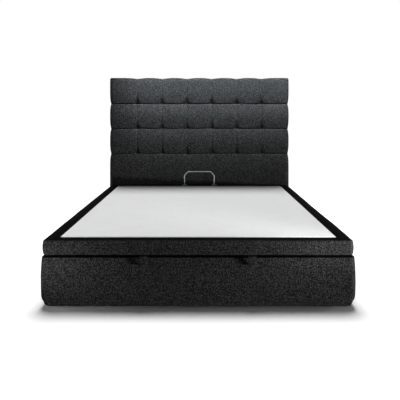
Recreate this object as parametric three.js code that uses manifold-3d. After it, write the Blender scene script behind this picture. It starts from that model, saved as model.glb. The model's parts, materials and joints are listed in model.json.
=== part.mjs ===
// An ottoman bed: a padded storage base, a lid that rises on two four-bar hinges helped by gas
// struts, and a headboard sewn into tufts. Millimetres, +Z up, the foot of the bed towards -Y.

import * as THREE from "three";
import { mergeVertices } from "three/addons/utils/BufferGeometryUtils.js";
import Module from "manifold-3d";

const wasm = await Module();
wasm.setup();

// Clearances
const FIT = 0.3; // between pieces that touch
const ARM_GAP = 0.5; // between the flat faces of the hinge arms
const LID_GAP = 5; // between the closed lid and the base
const OVERRUN = 10; // how far a cutting solid runs past what it cuts

// Lid
const LID_WIDTH = 1500;
const LID_LENGTH = 1900;
const LID_PADDING = 18.2; // foam and fabric outside the steel frame
const LID_SIDE_CROWN = 3;
const LID_CORNER_RADIUS = 30;
const LID_TOP_RADIUS = 8;
const LID_SEAM_RADIUS = 7;
const LID_TURN_UNDER = 46; // how far the fabric is turned under the frame
const LID_FABRIC_UNDER = 2.5;
const BORDER_WIDTH = 72;
const BORDER_CROWN = 2.5;
const BORDER_BELOW_TOP = 0.6;
const TOP_PAD_THICKNESS = 28;
const TOP_PAD_CORNER = 12;
const TOP_PAD_EDGE = 5;
const LID_BOARD_THICKNESS = 12;
const RAIL_SIZE = 30;
const RAIL_WALL = 2;
const CROSS_BAR_PLACE = 320; // each cross bar from the middle of the lid

// Pull tabs
const TAB_WIDTH = 38;
const TAB_THICKNESS = 3;
const TAB_PLACE = 258; // each tab from the middle of the front edge
const TAB_TUCKED = 30; // how far it reaches in under the lid
const TAB_BELOW_SEAM = 41;
const TAB_STANDS_OUT = 16; // from the base's front to the middle of the strap
const TAB_BEND = 12;

// Mattress retainer
const RETAINER_ROD = 8;
const RETAINER_WIDTH = 246;
const RETAINER_HEIGHT = 119;
const RETAINER_TOP_BAR = 200;
const RETAINER_LEG_HEIGHT = 84;
const RETAINER_SPLAY = 2.5;
const RETAINER_BEND = 16;
const FLANGE_LENGTH = 44;
const FLANGE_WIDTH = 22;
const FLANGE_THICKNESS = 2.5;

// Base
const BOARD_THICKNESS = 19;
const BOARD_HEIGHT = 230;
const BASE_PADDING = 21.2; // foam and fabric outside the boards
const BASE_CROWN = 5;
const BASE_SEAM_RADIUS = 8;
const BASE_CORNER_RADIUS = 30;
const BASE_FOOT_RADIUS = 52; // the lower corners of the end covers, seen from the end
const COVER_OVER = 3.6; // fabric over the boards' top edges
const COVER_UNDER = 2.7; // fabric under the boards
const LEDGE_WIDTH = 20;
const LEDGE_HEIGHT = 22;
const CENTRE_RAIL_WIDTH = 44;
const FLOOR_THICKNESS = 5;
const GLIDE_HEIGHT = 9;
const GLIDE_RADIUS = 16;
const GLIDE_CHAMFER = 2;
const GLIDE_FROM_END = 75;
const CENTRE_GLIDE_PLACE = 450;

// Corner brackets
const ANGLE_LEG = 50;
const ANGLE_THICKNESS = 3;
const ANGLE_HEIGHT = 150;
const ANGLE_FROM_BOTTOM = 55;
const SCREW_RADIUS = 6;
const SCREW_HEAD = 2.4;

// Lift mechanism, pins given by steps from one to the next with the lid closed
const PIN_C_FROM_HEAD_END = 246;
const PIN_C_BELOW_LID = 19.1;
const LIFT_ARM_RUN = 231.6; // from pin A to pin C
const LIFT_ARM_RISE = 50.1;
const PIN_D_RUN = 96.8; // from pin C to pin D, towards the foot
const PIN_D_DROP = 25.1;
const PIN_B_RUN = 325.2; // from pin A to pin B, towards the foot
const PIN_B_DROP = 67;
const PIN_E_RUN = 156.2; // from pin A to pin E, towards the head
const PIN_E_DROP = 117.4;
const PIN_F_RUN = 39.6; // from pin C to pin F, towards the head
const PIN_F_DROP = 17.2;
const CONTROL_EYE_SHIFT = { y: -1.18, z: 2.56 }; // the eye's centre from pin D
const STRUT_EYE_SHIFT = { y: -0.87, z: 0.96 }; // the eye's centre from pin F
const PLATE_THICKNESS = 3;
const ARM_THICKNESS = 5;
const ARM_END_RADIUS = 15;
const PLATE_END_RADIUS = 18;
const LID_PLATE_END_RADIUS = 15;
const PIVOT_RADIUS = 6;
const PIVOT_HEAD_RADIUS = 8.5;
const PIVOT_HEAD_THICKNESS = 2.3;
const SPACER_RADIUS = 8.5;
const BOLT_RADIUS = 8;
const BOLT_HEAD = 3.4;
const BOLT_EDGE = 11;
const PLATE_BOLT_SPREAD = 56; // each lid bracket bolt from the middle of the bracket
const WINDOW_RADIUS = 9;

// Gas struts
const STRUT_PIN_RADIUS = 4;
const STRUT_HEAD_RADIUS = 8.6;
const STRUT_EYE_RADIUS = 10.5;
const STRUT_EYE_WIDTH = 10;
const STRUT_NECK = 13.5; // from an eye's centre to the cylinder's or the nut's end
const STRUT_RADIUS = 11;
const STRUT_WALL = 1.4;
const STRUT_END = 5;
const STRUT_GLAND = 8;
const STRUT_ROD_RADIUS = 5;
const STRUT_NUT_RADIUS = 8;
const STRUT_NUT_LENGTH = 6;
const STRUT_ROD_SHOWING = 7;
const STRUT_PISTON_LENGTH = 12;

// Headboard
const HEADBOARD_WIDTH = 1529;
const HEADBOARD_TOP = 1233;
const HEADBOARD_BOTTOM = 40;
const PAD_THICKNESS = 55;
const PAD_EDGE = 16;
const PAD_ROUNDING = 34;
const TUFT_COLUMNS = 7;
const TUFT_WIDTH = 212;
const TUFT_ROWS = 3;
const TUFT_HEIGHT = 212.3;
const TOP_TUFT_HEIGHT = 219.6;
const ROW_SEAM_DEPTH = 17;
const COLUMN_SEAM_DEPTH = 11;
const CROSSING_DEPTH = 10;
const SCALLOP = 11;
const SIDE_DIP = 7;
const SCALLOP_REACH = 70;
const LOWER_CROWN_REACH = 120;
const HEADBOARD_BOARD_THICKNESS = 16;
const HEADBOARD_BOARD_INSET = 8;
const LINING_THICKNESS = 1.2;
const LINING_INSET = 14;
const LEG_WIDTH = 60;
const LEG_THICKNESS = 25;
const LEG_HEIGHT = 640;
const LEG_CHAMFER = 12;
const LEG_PLACE = 450;
const HEADBOARD_BOLT_LOW = 100;
const HEADBOARD_BOLT_HIGH = 200;
const HEADBOARD_BOLT_RADIUS = 4;
const HEADBOARD_NUT_RADIUS = 7.5;
const HEADBOARD_NUT_LENGTH = 6;
const HEADBOARD_WASHER_RADIUS = 12;
const HEADBOARD_WASHER_THICKNESS = 1.6;
const HEADBOARD_BOLT_HEAD = 4.5;

// How finely round shapes are divided
const PIN_SIDES = 16;
const BOLT_SIDES = 10;
const ARC_STEPS = 4;
const CROWN_STEPS = 6;
const ROD_SIDES = 8;
const ROD_STEPS = 34;
// Where the grid lines of one tuft fall
const TUFT_LINE_SHARES = [0.14, 0.38, 0.62, 0.86];
const ROUNDING_LINE_SHARES = [0, 0.16, 0.55];
const TUFT_POWER = 3;
const WINDOW_REACH_SHARE = 0.42;
const PLATE_BOLT_REACH_SHARE = 0.8;

// Levels worked out from the sizes, from the floor up
const COVER_BOTTOM_Z = GLIDE_HEIGHT + FIT;
const BOARD_BOTTOM_Z = COVER_BOTTOM_Z + COVER_UNDER + FIT;
const BOARD_TOP_Z = BOARD_BOTTOM_Z + BOARD_HEIGHT;
const COVER_TOP_Z = BOARD_TOP_Z + FIT + COVER_OVER;
const LID_BOTTOM_Z = COVER_TOP_Z + LID_GAP;
const RAIL_BOTTOM_Z = LID_BOTTOM_Z + LID_FABRIC_UNDER + FIT;
const RAIL_TOP_Z = RAIL_BOTTOM_Z + RAIL_SIZE;
const LID_BOARD_BOTTOM_Z = RAIL_TOP_Z + FIT;
const LID_BOARD_TOP_Z = LID_BOARD_BOTTOM_Z + LID_BOARD_THICKNESS;
const PAD_BOTTOM_Z = LID_BOARD_TOP_Z + FIT;
const LID_TOP_Z = PAD_BOTTOM_Z + TOP_PAD_THICKNESS;
const LEDGE_TOP_Z = BOARD_BOTTOM_Z + LEDGE_HEIGHT;

// Half widths worked out from the middle of the lid outwards, through the hinge's layers
const RAIL_OUTER_X = LID_WIDTH / 2 - LID_PADDING - FIT;
const RAIL_INNER_X = RAIL_OUTER_X - RAIL_SIZE;
const LID_PLATE_OUTER_X = RAIL_INNER_X - FIT;
const LID_PLATE_INNER_X = LID_PLATE_OUTER_X - PLATE_THICKNESS;
const CONTROL_ARM_INNER_X = LID_PLATE_OUTER_X + ARM_GAP;
const CONTROL_ARM_OUTER_X = CONTROL_ARM_INNER_X + ARM_THICKNESS;
const LIFT_ARM_INNER_X = CONTROL_ARM_OUTER_X + ARM_GAP;
const LIFT_ARM_OUTER_X = LIFT_ARM_INNER_X + ARM_THICKNESS;
const BASE_PLATE_INNER_X = LIFT_ARM_OUTER_X + ARM_GAP;
const BASE_PLATE_OUTER_X = BASE_PLATE_INNER_X + PLATE_THICKNESS;
const BOARD_INNER_X = BASE_PLATE_OUTER_X + FIT;
const BOARD_OUTER_X = BOARD_INNER_X + BOARD_THICKNESS;
const BASE_OUTER_X = BOARD_OUTER_X + FIT + BASE_PADDING;
const STRUT_X = LID_PLATE_INNER_X - PIVOT_HEAD_THICKNESS / 2 - STRUT_RADIUS;
const STRUT_EYE_OUTER_X = STRUT_X + STRUT_EYE_WIDTH / 2;
const STRUT_EYE_INNER_X = STRUT_X - STRUT_EYE_WIDTH / 2;

// Half lengths, with the base standing out from the lid as far as it does at the sides
const BASE_STANDS_OUT = BASE_OUTER_X - LID_WIDTH / 2;
const BASE_OUTER_Y = LID_LENGTH / 2 + BASE_STANDS_OUT;
const BOARD_OUTER_Y = BASE_OUTER_Y - BASE_PADDING - FIT;
const BOARD_INNER_Y = BOARD_OUTER_Y - BOARD_THICKNESS;
const INSIDE_HALF_LENGTH = BOARD_INNER_Y - FIT;
const RAIL_OUTER_Y = LID_LENGTH / 2 - LID_PADDING - FIT;

// Pins of the hinge and the strut, as places across the bed's side
const PIN_C = { y: LID_LENGTH / 2 - PIN_C_FROM_HEAD_END, z: LID_BOTTOM_Z - PIN_C_BELOW_LID };
const PIN_A = { y: PIN_C.y - LIFT_ARM_RUN, z: PIN_C.z - LIFT_ARM_RISE };
const PIN_B = { y: PIN_A.y - PIN_B_RUN, z: PIN_A.z - PIN_B_DROP };
const PIN_D = { y: PIN_C.y - PIN_D_RUN, z: PIN_C.z - PIN_D_DROP };
const PIN_E = { y: PIN_A.y + PIN_E_RUN, z: PIN_A.z - PIN_E_DROP };
const PIN_F = { y: PIN_C.y + PIN_F_RUN, z: PIN_C.z - PIN_F_DROP };
const CONTROL_EYE = { y: PIN_D.y + CONTROL_EYE_SHIFT.y, z: PIN_D.z + CONTROL_EYE_SHIFT.z };
const STRUT_EYE = { y: PIN_F.y + STRUT_EYE_SHIFT.y, z: PIN_F.z + STRUT_EYE_SHIFT.z };

// The headboard's layers, from the base towards the wall
const PAD_FRONT_Y = BASE_OUTER_Y + FIT;
const PAD_BACK_Y = PAD_FRONT_Y + PAD_THICKNESS;
const HEADBOARD_BOARD_Y = PAD_BACK_Y + FIT;
const LINING_Y = HEADBOARD_BOARD_Y + HEADBOARD_BOARD_THICKNESS + FIT;
const LEG_Y = LINING_Y + LINING_THICKNESS + FIT;
const LEG_BACK_Y = LEG_Y + LEG_THICKNESS;

const AXIS_X = new THREE.Vector3(1, 0, 0);
const AXIS_Y = new THREE.Vector3(0, 1, 0);
const AXIS_Z = new THREE.Vector3(0, 0, 1);

const palette = {
  upholstery: finish(0x3f4446, 0.95, 0),
  knit: finish(0xd9dad8, 0.95, 0),
  chipboard: finish(0xb99b72, 0.8, 0),
  hardboard: finish(0x8a6a48, 0.75, 0),
  pine: finish(0xcfa878, 0.7, 0),
  blackSteel: finish(0x1d1f21, 0.5, 0.6),
  zincSteel: finish(0xa9adb0, 0.35, 0.9),
  greyWire: finish(0x8d9193, 0.4, 0.7),
  strutBlack: finish(0x141516, 0.4, 0.3),
  polishedRod: finish(0xd5d8da, 0.15, 1),
  glide: finish(0x202123, 0.6, 0),
  lining: finish(0x2a2b2d, 0.95, 0),
};

function finish(color, roughness, metalness) {
  return new THREE.MeshStandardMaterial({ color, roughness, metalness, flatShading: true });
}

// Flat outlines

function point(u, v) {
  return new THREE.Vector2(u, v);
}

function arc(center, radius, from, to, steps) {
  const points = [];
  for (let i = 0; i <= steps; i += 1) {
    const angle = from + ((to - from) * i) / steps;
    points.push(point(center.x + radius * Math.cos(angle), center.y + radius * Math.sin(angle)));
  }
  return points;
}

function circle(place, radius, sides = PIN_SIDES) {
  const points = arc(point(place.y, place.z), radius, 0, 2 * Math.PI, sides);
  return points.slice(0, sides);
}

function rectangle(left, right, low, high) {
  return [point(left, low), point(right, low), point(right, high), point(left, high)];
}

function roundedRectangle(halfWidth, halfHeight, radius) {
  const quarter = Math.PI / 2;
  const corners = [[1, 1], [-1, 1], [-1, -1], [1, -1]];
  return corners.flatMap(([sx, sy], i) => {
    const center = point(sx * (halfWidth - radius), sy * (halfHeight - radius));
    return arc(center, radius, i * quarter, (i + 1) * quarter, ARC_STEPS);
  });
}

// The outline that a band stretched round the given points would take
function stretchedOutline(points) {
  const sorted = [...points].sort((a, b) => a.x - b.x || a.y - b.y);
  const turn = (o, a, b) => (a.x - o.x) * (b.y - o.y) - (a.y - o.y) * (b.x - o.x);
  const halfOutline = (list) => {
    const kept = [];
    for (const next of list) {
      while (kept.length > 1 && turn(kept[kept.length - 2], kept[kept.length - 1], next) <= 0) {
        kept.pop();
      }
      kept.push(next);
    }
    kept.pop();
    return kept;
  };
  return [...halfOutline(sorted), ...halfOutline([...sorted].reverse())];
}

function linkOutline(ends) {
  return stretchedOutline(ends.flatMap(({ place, radius }) => circle(place, radius)));
}

// Solids from outlines

function extruded(outline, depth, holes) {
  const shape = new THREE.Shape(outline);
  shape.holes = holes.map((hole) => new THREE.Path(hole));
  return new THREE.ExtrudeGeometry(shape, { depth, bevelEnabled: false });
}

// An outline drawn across Y and Z, run along X
function alongX(outline, from, to, holes = []) {
  const basis = new THREE.Matrix4().makeBasis(AXIS_Y, AXIS_Z, AXIS_X);
  return extruded(outline, to - from, holes).applyMatrix4(basis).translate(from, 0, 0);
}

// An outline drawn across X and Z, run along Y
function alongY(outline, from, to, holes = []) {
  const basis = new THREE.Matrix4().makeBasis(AXIS_X, AXIS_Z, AXIS_Y.clone().negate());
  return extruded(outline, to - from, holes).applyMatrix4(basis).translate(0, to, 0);
}

// An outline drawn across X and Y, run along Z
function alongZ(outline, from, to, holes = []) {
  return extruded(outline, to - from, holes).translate(0, 0, from);
}

function block(low, high) {
  const size = high.map((value, i) => value - low[i]);
  const middle = high.map((value, i) => (value + low[i]) / 2);
  return new THREE.BoxGeometry(...size).translate(...middle);
}

// Turned solids, with the outline given as radius and place along the axis
function turnedX(outline, place, sides = PIN_SIDES) {
  const lathe = new THREE.LatheGeometry(outline, sides);
  return lathe.rotateZ(-Math.PI / 2).translate(0, place.y, place.z);
}

function turnedY(outline, place, sides = PIN_SIDES) {
  return new THREE.LatheGeometry(outline, sides).translate(place.x, 0, place.z);
}

function turnedZ(outline, place, sides = PIN_SIDES) {
  const lathe = new THREE.LatheGeometry(outline, sides);
  return lathe.rotateX(Math.PI / 2).translate(place.x, place.y, 0);
}

function pinX(place, radius, from, to, sides = PIN_SIDES) {
  return turnedX([point(0, from), point(radius, from), point(radius, to), point(0, to)], place, sides);
}

function pinY(place, radius, from, to, sides = PIN_SIDES) {
  return turnedY([point(0, from), point(radius, from), point(radius, to), point(0, to)], place, sides);
}

// A low round head that stands on a face at from and rises to to
function headOutline(radius, from, to) {
  const rise = to - from;
  const rim = from + rise / 3;
  return [point(0, from), point(radius, from), point(radius, rim), point(radius * 0.6, to), point(0, to)];
}

// Joining and cutting

function signedVolume(positions, index) {
  let volume = 0;
  const [a, b, c] = [new THREE.Vector3(), new THREE.Vector3(), new THREE.Vector3()];
  for (let i = 0; i < index.length; i += 3) {
    a.fromArray(positions, 3 * index[i]);
    b.fromArray(positions, 3 * index[i + 1]);
    c.fromArray(positions, 3 * index[i + 2]);
    volume += a.dot(b.cross(c)) / 6;
  }
  return volume;
}

// Shared vertices merged, flat triangles dropped and every face turned outwards
function welded(geometry) {
  const bare = geometry.clone();
  bare.deleteAttribute("normal");
  bare.deleteAttribute("uv");
  const merged = mergeVertices(bare);
  const positions = merged.attributes.position.array;
  const source = merged.index.array;
  const index = [];
  for (let i = 0; i < source.length; i += 3) {
    const [p, q, r] = [source[i], source[i + 1], source[i + 2]];
    if (p !== q && q !== r && r !== p) {
      index.push(p, q, r);
    }
  }
  if (signedVolume(positions, index) < 0) {
    index.reverse();
  }
  merged.setIndex(index);
  return merged;
}

function solid(geometry) {
  const clean = welded(geometry);
  const vertProperties = new Float32Array(clean.attributes.position.array);
  const triVerts = new Uint32Array(clean.index.array);
  return new wasm.Manifold(new wasm.Mesh({ numProp: 3, vertProperties, triVerts }));
}

function geometryOf(manifold) {
  const mesh = manifold.getMesh();
  const geometry = new THREE.BufferGeometry();
  geometry.setAttribute("position", new THREE.BufferAttribute(mesh.vertProperties, 3));
  geometry.setIndex(new THREE.BufferAttribute(mesh.triVerts, 1));
  return geometry;
}

function joined(...geometries) {
  return geometryOf(geometries.map(solid).reduce((whole, part) => whole.add(part)));
}

function cut(geometry, ...tools) {
  return geometryOf(tools.map(solid).reduce((whole, tool) => whole.subtract(tool), solid(geometry)));
}

function common(...geometries) {
  return geometryOf(geometries.map(solid).reduce((whole, part) => whole.intersect(part)));
}

function mirrored(geometry, axis) {
  const scale = { x: [-1, 1, 1], y: [1, -1, 1] }[axis];
  return welded(geometry.clone().scale(...scale));
}

// Rings of as many points each, joined side by side and closed at both ends
function lofted(rings, capOutline) {
  const count = rings[0].length;
  const positions = rings.flat().flatMap((p) => [p.x, p.y, p.z]);
  const index = [];
  for (let ring = 0; ring + 1 < rings.length; ring += 1) {
    for (let i = 0; i < count; i += 1) {
      const a = ring * count + i;
      const b = ring * count + ((i + 1) % count);
      index.push(a, b, b + count, a, b + count, a + count);
    }
  }
  const last = (rings.length - 1) * count;
  const clockwise = THREE.ShapeUtils.isClockWise(capOutline);
  for (const [a, p, q] of THREE.ShapeUtils.triangulateShape(capOutline, [])) {
    const [b, c] = clockwise ? [q, p] : [p, q];
    index.push(a, c, b, last + a, last + b, last + c);
  }
  const geometry = new THREE.BufferGeometry();
  geometry.setAttribute("position", new THREE.Float32BufferAttribute(positions, 3));
  geometry.setIndex(index);
  return geometry;
}

// Padded outlines, given as distance inwards from the outermost face and height

// Points up the crowned outer face, from the end of the lower round to the start of the upper one
function crownedFace(crown, low, high) {
  const points = [];
  for (let i = 1; i < CROWN_STEPS; i += 1) {
    const s = (2 * i) / CROWN_STEPS - 1;
    points.push(point(crown * s * s, low + ((high - low) * i) / CROWN_STEPS));
  }
  return points;
}

function coverOutline(crown) {
  const radius = BASE_SEAM_RADIUS;
  const depth = BASE_OUTER_Y - BOARD_INNER_Y;
  const low = point(crown + radius, COVER_BOTTOM_Z + radius);
  const high = point(crown + radius, COVER_TOP_Z - radius);
  return [
    point(depth, COVER_BOTTOM_Z),
    ...arc(low, radius, -Math.PI / 2, -Math.PI, ARC_STEPS),
    ...crownedFace(crown, low.y, high.y),
    ...arc(high, radius, Math.PI, Math.PI / 2, ARC_STEPS),
    point(depth, COVER_TOP_Z),
  ];
}

// The lid's band: outer side, border on top and the turn under the steel frame
function bandOutline() {
  const step = LID_PADDING;
  const top = LID_TOP_Z - BORDER_BELOW_TOP;
  const low = point(LID_SIDE_CROWN + LID_SEAM_RADIUS, LID_BOTTOM_Z + LID_SEAM_RADIUS);
  const high = point(LID_SIDE_CROWN + LID_TOP_RADIUS, top - BORDER_CROWN - LID_TOP_RADIUS);
  const border = [];
  for (let i = 1; i < CROWN_STEPS; i += 1) {
    const s = (2 * i) / CROWN_STEPS - 1;
    border.push(point(high.x + ((BORDER_WIDTH - high.x) * i) / CROWN_STEPS, top - BORDER_CROWN * s * s));
  }
  return [
    point(LID_TURN_UNDER, LID_BOTTOM_Z),
    ...arc(low, LID_SEAM_RADIUS, -Math.PI / 2, -Math.PI, ARC_STEPS),
    ...crownedFace(LID_SIDE_CROWN, low.y, high.y),
    ...arc(high, LID_TOP_RADIUS, Math.PI, Math.PI / 2, ARC_STEPS),
    ...border,
    point(BORDER_WIDTH, top - BORDER_CROWN),
    point(BORDER_WIDTH, PAD_BOTTOM_Z),
    point(step, PAD_BOTTOM_Z),
    point(step, RAIL_BOTTOM_Z - FIT),
    point(LID_TURN_UNDER, RAIL_BOTTOM_Z - FIT),
  ];
}

// One length of the lid's band along X at the foot end, with its ends cut on the mitre
function mitredBand(halfLength, halfAcross) {
  const outline = bandOutline();
  const ring = (sign) => outline.map(({ x: inwards, y: height }) => {
    const reach = halfLength - inwards - FIT;
    return new THREE.Vector3(sign * reach, inwards - halfAcross, height);
  });
  return lofted([ring(-1), ring(1)], outline);
}

// Pieces of the base

function coverBlank(outline, halfLength) {
  const outside = outline.map(({ x: inwards, y: height }) => point(inwards - BASE_OUTER_Y, height));
  return alongX(outside, -halfLength, halfLength);
}

// The cover of an end board, which wraps the board's ends and takes the bed's rounded corners
function endCover(crown) {
  const reach = OVERRUN + BASE_SEAM_RADIUS;
  const plan = roundedRectangle(BASE_OUTER_X, BASE_OUTER_Y, BASE_CORNER_RADIUS);
  return cut(
    common(
      coverBlank(coverOutline(crown), BASE_OUTER_X),
      alongZ(plan, COVER_BOTTOM_Z - reach, COVER_TOP_Z + reach),
      alongY(endOutline(0), -BASE_OUTER_Y - reach, reach),
    ),
    endBoardBlank(FIT, -BOARD_INNER_Y + OVERRUN),
  );
}

// The end cover seen from the end, or a line that lies the inset inside it; it runs past the top
function endOutline(inset) {
  const outline = roundedRectangle(BASE_OUTER_X - inset, BOARD_HEIGHT - inset, BASE_FOOT_RADIUS - inset);
  return outline.map((p) => point(p.x, p.y + BOARD_HEIGHT + COVER_BOTTOM_Z));
}

// An end board made larger by a clearance, with its inner face at the given place
function endBoardBlank(clearance, innerY) {
  const plate = block(
    [-BOARD_OUTER_X - clearance, -BOARD_OUTER_Y - clearance, 0],
    [BOARD_OUTER_X + clearance, innerY, BOARD_TOP_Z + clearance],
  );
  const rounded = endOutline(COVER_UNDER + FIT - clearance);
  return common(plate, alongY(rounded, -BASE_OUTER_Y - OVERRUN, innerY + OVERRUN));
}

function sideCover() {
  const outside = coverOutline(BASE_CROWN);
  const across = outside.map(({ x: inwards, y: height }) => point(BASE_OUTER_X - inwards, height));
  const hollow = block(
    [BOARD_INNER_X - OVERRUN, -BASE_OUTER_Y, BOARD_BOTTOM_Z - FIT],
    [BOARD_OUTER_X + FIT, BASE_OUTER_Y, BOARD_TOP_Z + FIT],
  );
  return cut(alongY(across, -INSIDE_HALF_LENGTH, INSIDE_HALF_LENGTH), hollow);
}

function endBoard() {
  return endBoardBlank(0, -BOARD_INNER_Y);
}

function sideBoard() {
  return block(
    [BOARD_INNER_X, -INSIDE_HALF_LENGTH, BOARD_BOTTOM_Z],
    [BOARD_OUTER_X, INSIDE_HALF_LENGTH, BOARD_TOP_Z],
  );
}

// The angle in the rear right corner, with two screw heads on each leg
function cornerBracket() {
  const [x, y] = [BOARD_INNER_X - FIT, BOARD_INNER_Y - FIT];
  const [low, high] = [BOARD_BOTTOM_Z + ANGLE_FROM_BOTTOM, BOARD_BOTTOM_Z + ANGLE_FROM_BOTTOM + ANGLE_HEIGHT];
  const inner = point(x - ANGLE_THICKNESS * 2, y - ANGLE_THICKNESS * 2);
  const outline = [
    point(x, y - ANGLE_LEG),
    point(x, y),
    point(x - ANGLE_LEG, y),
    point(x - ANGLE_LEG, y - ANGLE_THICKNESS),
    ...arc(inner, ANGLE_THICKNESS, Math.PI / 2, 0, 2),
    point(x - ANGLE_THICKNESS, y - ANGLE_LEG),
  ];
  const across = ANGLE_THICKNESS + (ANGLE_LEG - ANGLE_THICKNESS) / 2;
  const heads = [low + ANGLE_HEIGHT / 4, high - ANGLE_HEIGHT / 4].flatMap((z) => [
    turnedX(
      headOutline(SCREW_RADIUS, x - ANGLE_THICKNESS / 2, x - ANGLE_THICKNESS - SCREW_HEAD),
      { y: y - across, z },
      BOLT_SIDES,
    ),
    turnedY(
      headOutline(SCREW_RADIUS, y - ANGLE_THICKNESS / 2, y - ANGLE_THICKNESS - SCREW_HEAD),
      { x: x - across, z },
      BOLT_SIDES,
    ),
  ]);
  return joined(alongZ(outline, low, high), ...heads);
}

function ledge() {
  return block(
    [BOARD_INNER_X - FIT - LEDGE_WIDTH, -INSIDE_HALF_LENGTH, BOARD_BOTTOM_Z],
    [BOARD_INNER_X - FIT, INSIDE_HALF_LENGTH, LEDGE_TOP_Z],
  );
}

function centreRail() {
  return block(
    [-CENTRE_RAIL_WIDTH / 2, -INSIDE_HALF_LENGTH, BOARD_BOTTOM_Z],
    [CENTRE_RAIL_WIDTH / 2, INSIDE_HALF_LENGTH, LEDGE_TOP_Z],
  );
}

function floorPanel() {
  return block(
    [FIT / 2, -INSIDE_HALF_LENGTH, LEDGE_TOP_Z + FIT],
    [BOARD_INNER_X - FIT, INSIDE_HALF_LENGTH, LEDGE_TOP_Z + FIT + FLOOR_THICKNESS],
  );
}

function glide(place, top) {
  const outline = [
    point(0, 0),
    point(GLIDE_RADIUS - GLIDE_CHAMFER, 0),
    point(GLIDE_RADIUS, GLIDE_CHAMFER),
    point(GLIDE_RADIUS, top),
    point(0, top),
  ];
  return turnedZ(outline, place);
}

// Pieces of the lid

function tubeOutlines(across) {
  const middle = RAIL_BOTTOM_Z + RAIL_SIZE / 2;
  const outline = (half) => rectangle(across - half, across + half, middle - half, middle + half);
  return { outside: outline(RAIL_SIZE / 2), inside: outline(RAIL_SIZE / 2 - RAIL_WALL) };
}

function sideRail() {
  const { outside, inside } = tubeOutlines(RAIL_OUTER_X - RAIL_SIZE / 2);
  return alongY(outside, -RAIL_OUTER_Y, RAIL_OUTER_Y, [inside]);
}

function crossRail(place) {
  const { outside, inside } = tubeOutlines(place);
  const reach = RAIL_INNER_X - FIT;
  return alongX(outside, -reach, reach, [inside]);
}

function lidBoard() {
  return block(
    [-RAIL_OUTER_X, -RAIL_OUTER_Y, LID_BOARD_BOTTOM_Z],
    [RAIL_OUTER_X, RAIL_OUTER_Y, LID_BOARD_TOP_Z],
  );
}

// A flat pad whose top edge is rounded and whose top face stays flat
function topPad() {
  const halfWidth = LID_WIDTH / 2 - BORDER_WIDTH - FIT;
  const halfLength = LID_LENGTH / 2 - BORDER_WIDTH - FIT;
  const ring = (inset, z) => {
    const outline = roundedRectangle(halfWidth - inset, halfLength - inset, TOP_PAD_CORNER);
    return outline.map((p) => new THREE.Vector3(p.x, p.y, z));
  };
  const rings = [ring(0, PAD_BOTTOM_Z)];
  for (let i = 0; i <= ARC_STEPS; i += 1) {
    const angle = (Math.PI / 2) * (i / ARC_STEPS);
    const inset = TOP_PAD_EDGE * (1 - Math.cos(angle));
    rings.push(ring(inset, LID_TOP_Z - TOP_PAD_EDGE * (1 - Math.sin(angle))));
  }
  return lofted(rings, roundedRectangle(halfWidth, halfLength, TOP_PAD_CORNER));
}

function lidBand(halfLength, halfAcross) {
  const plan = roundedRectangle(halfLength + FIT, halfAcross + FIT, LID_CORNER_RADIUS);
  const reach = LID_BOTTOM_Z - OVERRUN;
  return common(mitredBand(halfLength, halfAcross), alongZ(plan, reach, LID_TOP_Z + OVERRUN));
}

// A strap of doubled fabric sewn under the lid's front edge, which comes out of the gap and hangs down
function pullTab(middle) {
  const half = TAB_THICKNESS / 2;
  const tucked = TAB_TUCKED - LID_LENGTH / 2;
  const front = -BASE_OUTER_Y - TAB_STANDS_OUT;
  const level = LID_BOTTOM_Z - FIT - half;
  const bend = point(front + TAB_BEND, level - TAB_BEND);
  const end = point(front, LID_BOTTOM_Z - TAB_BELOW_SEAM + half);
  const outline = [
    point(tucked, level + half),
    ...arc(bend, TAB_BEND + half, Math.PI / 2, Math.PI, ARC_STEPS),
    ...arc(end, half, Math.PI, 2 * Math.PI, ARC_STEPS),
    ...arc(bend, TAB_BEND - half, Math.PI, Math.PI / 2, ARC_STEPS),
    point(tucked, level - half),
  ];
  return alongX(outline, middle - TAB_WIDTH / 2, middle + TAB_WIDTH / 2);
}

// The bent wire that keeps the mattress from sliding, on two screwed flanges
function mattressRetainer() {
  const y = LID_LENGTH / 2 - BORDER_WIDTH / 2;
  const foot = LID_TOP_Z + FIT;
  const top = foot + RETAINER_HEIGHT;
  const half = RETAINER_WIDTH / 2;
  const shoulder = half + RETAINER_SPLAY;
  const corners = [
    [-half, foot + FLANGE_THICKNESS / 2],
    [-shoulder, foot + RETAINER_LEG_HEIGHT],
    [-RETAINER_TOP_BAR / 2, top - RETAINER_ROD / 2],
    [RETAINER_TOP_BAR / 2, top - RETAINER_ROD / 2],
    [shoulder, foot + RETAINER_LEG_HEIGHT],
    [half, foot + FLANGE_THICKNESS / 2],
  ].map(([x, z]) => new THREE.Vector3(x, y, z));
  const rod = new THREE.ExtrudeGeometry(
    new THREE.Shape(arc(point(0, 0), RETAINER_ROD / 2, 0, 2 * Math.PI, ROD_SIDES).slice(0, ROD_SIDES)),
    { steps: ROD_STEPS, extrudePath: bentRoute(corners, RETAINER_BEND), bevelEnabled: false },
  );
  const flanges = [-half, half].map((x) => block(
    [x - FLANGE_LENGTH / 2, y - FLANGE_WIDTH / 2, foot],
    [x + FLANGE_LENGTH / 2, y + FLANGE_WIDTH / 2, foot + FLANGE_THICKNESS],
  ));
  const head = headOutline(SCREW_RADIUS / 2, foot + FLANGE_THICKNESS / 2, foot + FLANGE_THICKNESS + SCREW_HEAD / 2);
  const fromLeg = (FLANGE_LENGTH + RETAINER_ROD) / 4;
  const screws = [-half, half].flatMap((x) => [-fromLeg, fromLeg].map((step) => (
    turnedZ(head, { x: x + step, y }, BOLT_SIDES)
  )));
  return joined(rod, ...flanges, ...screws);
}

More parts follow.
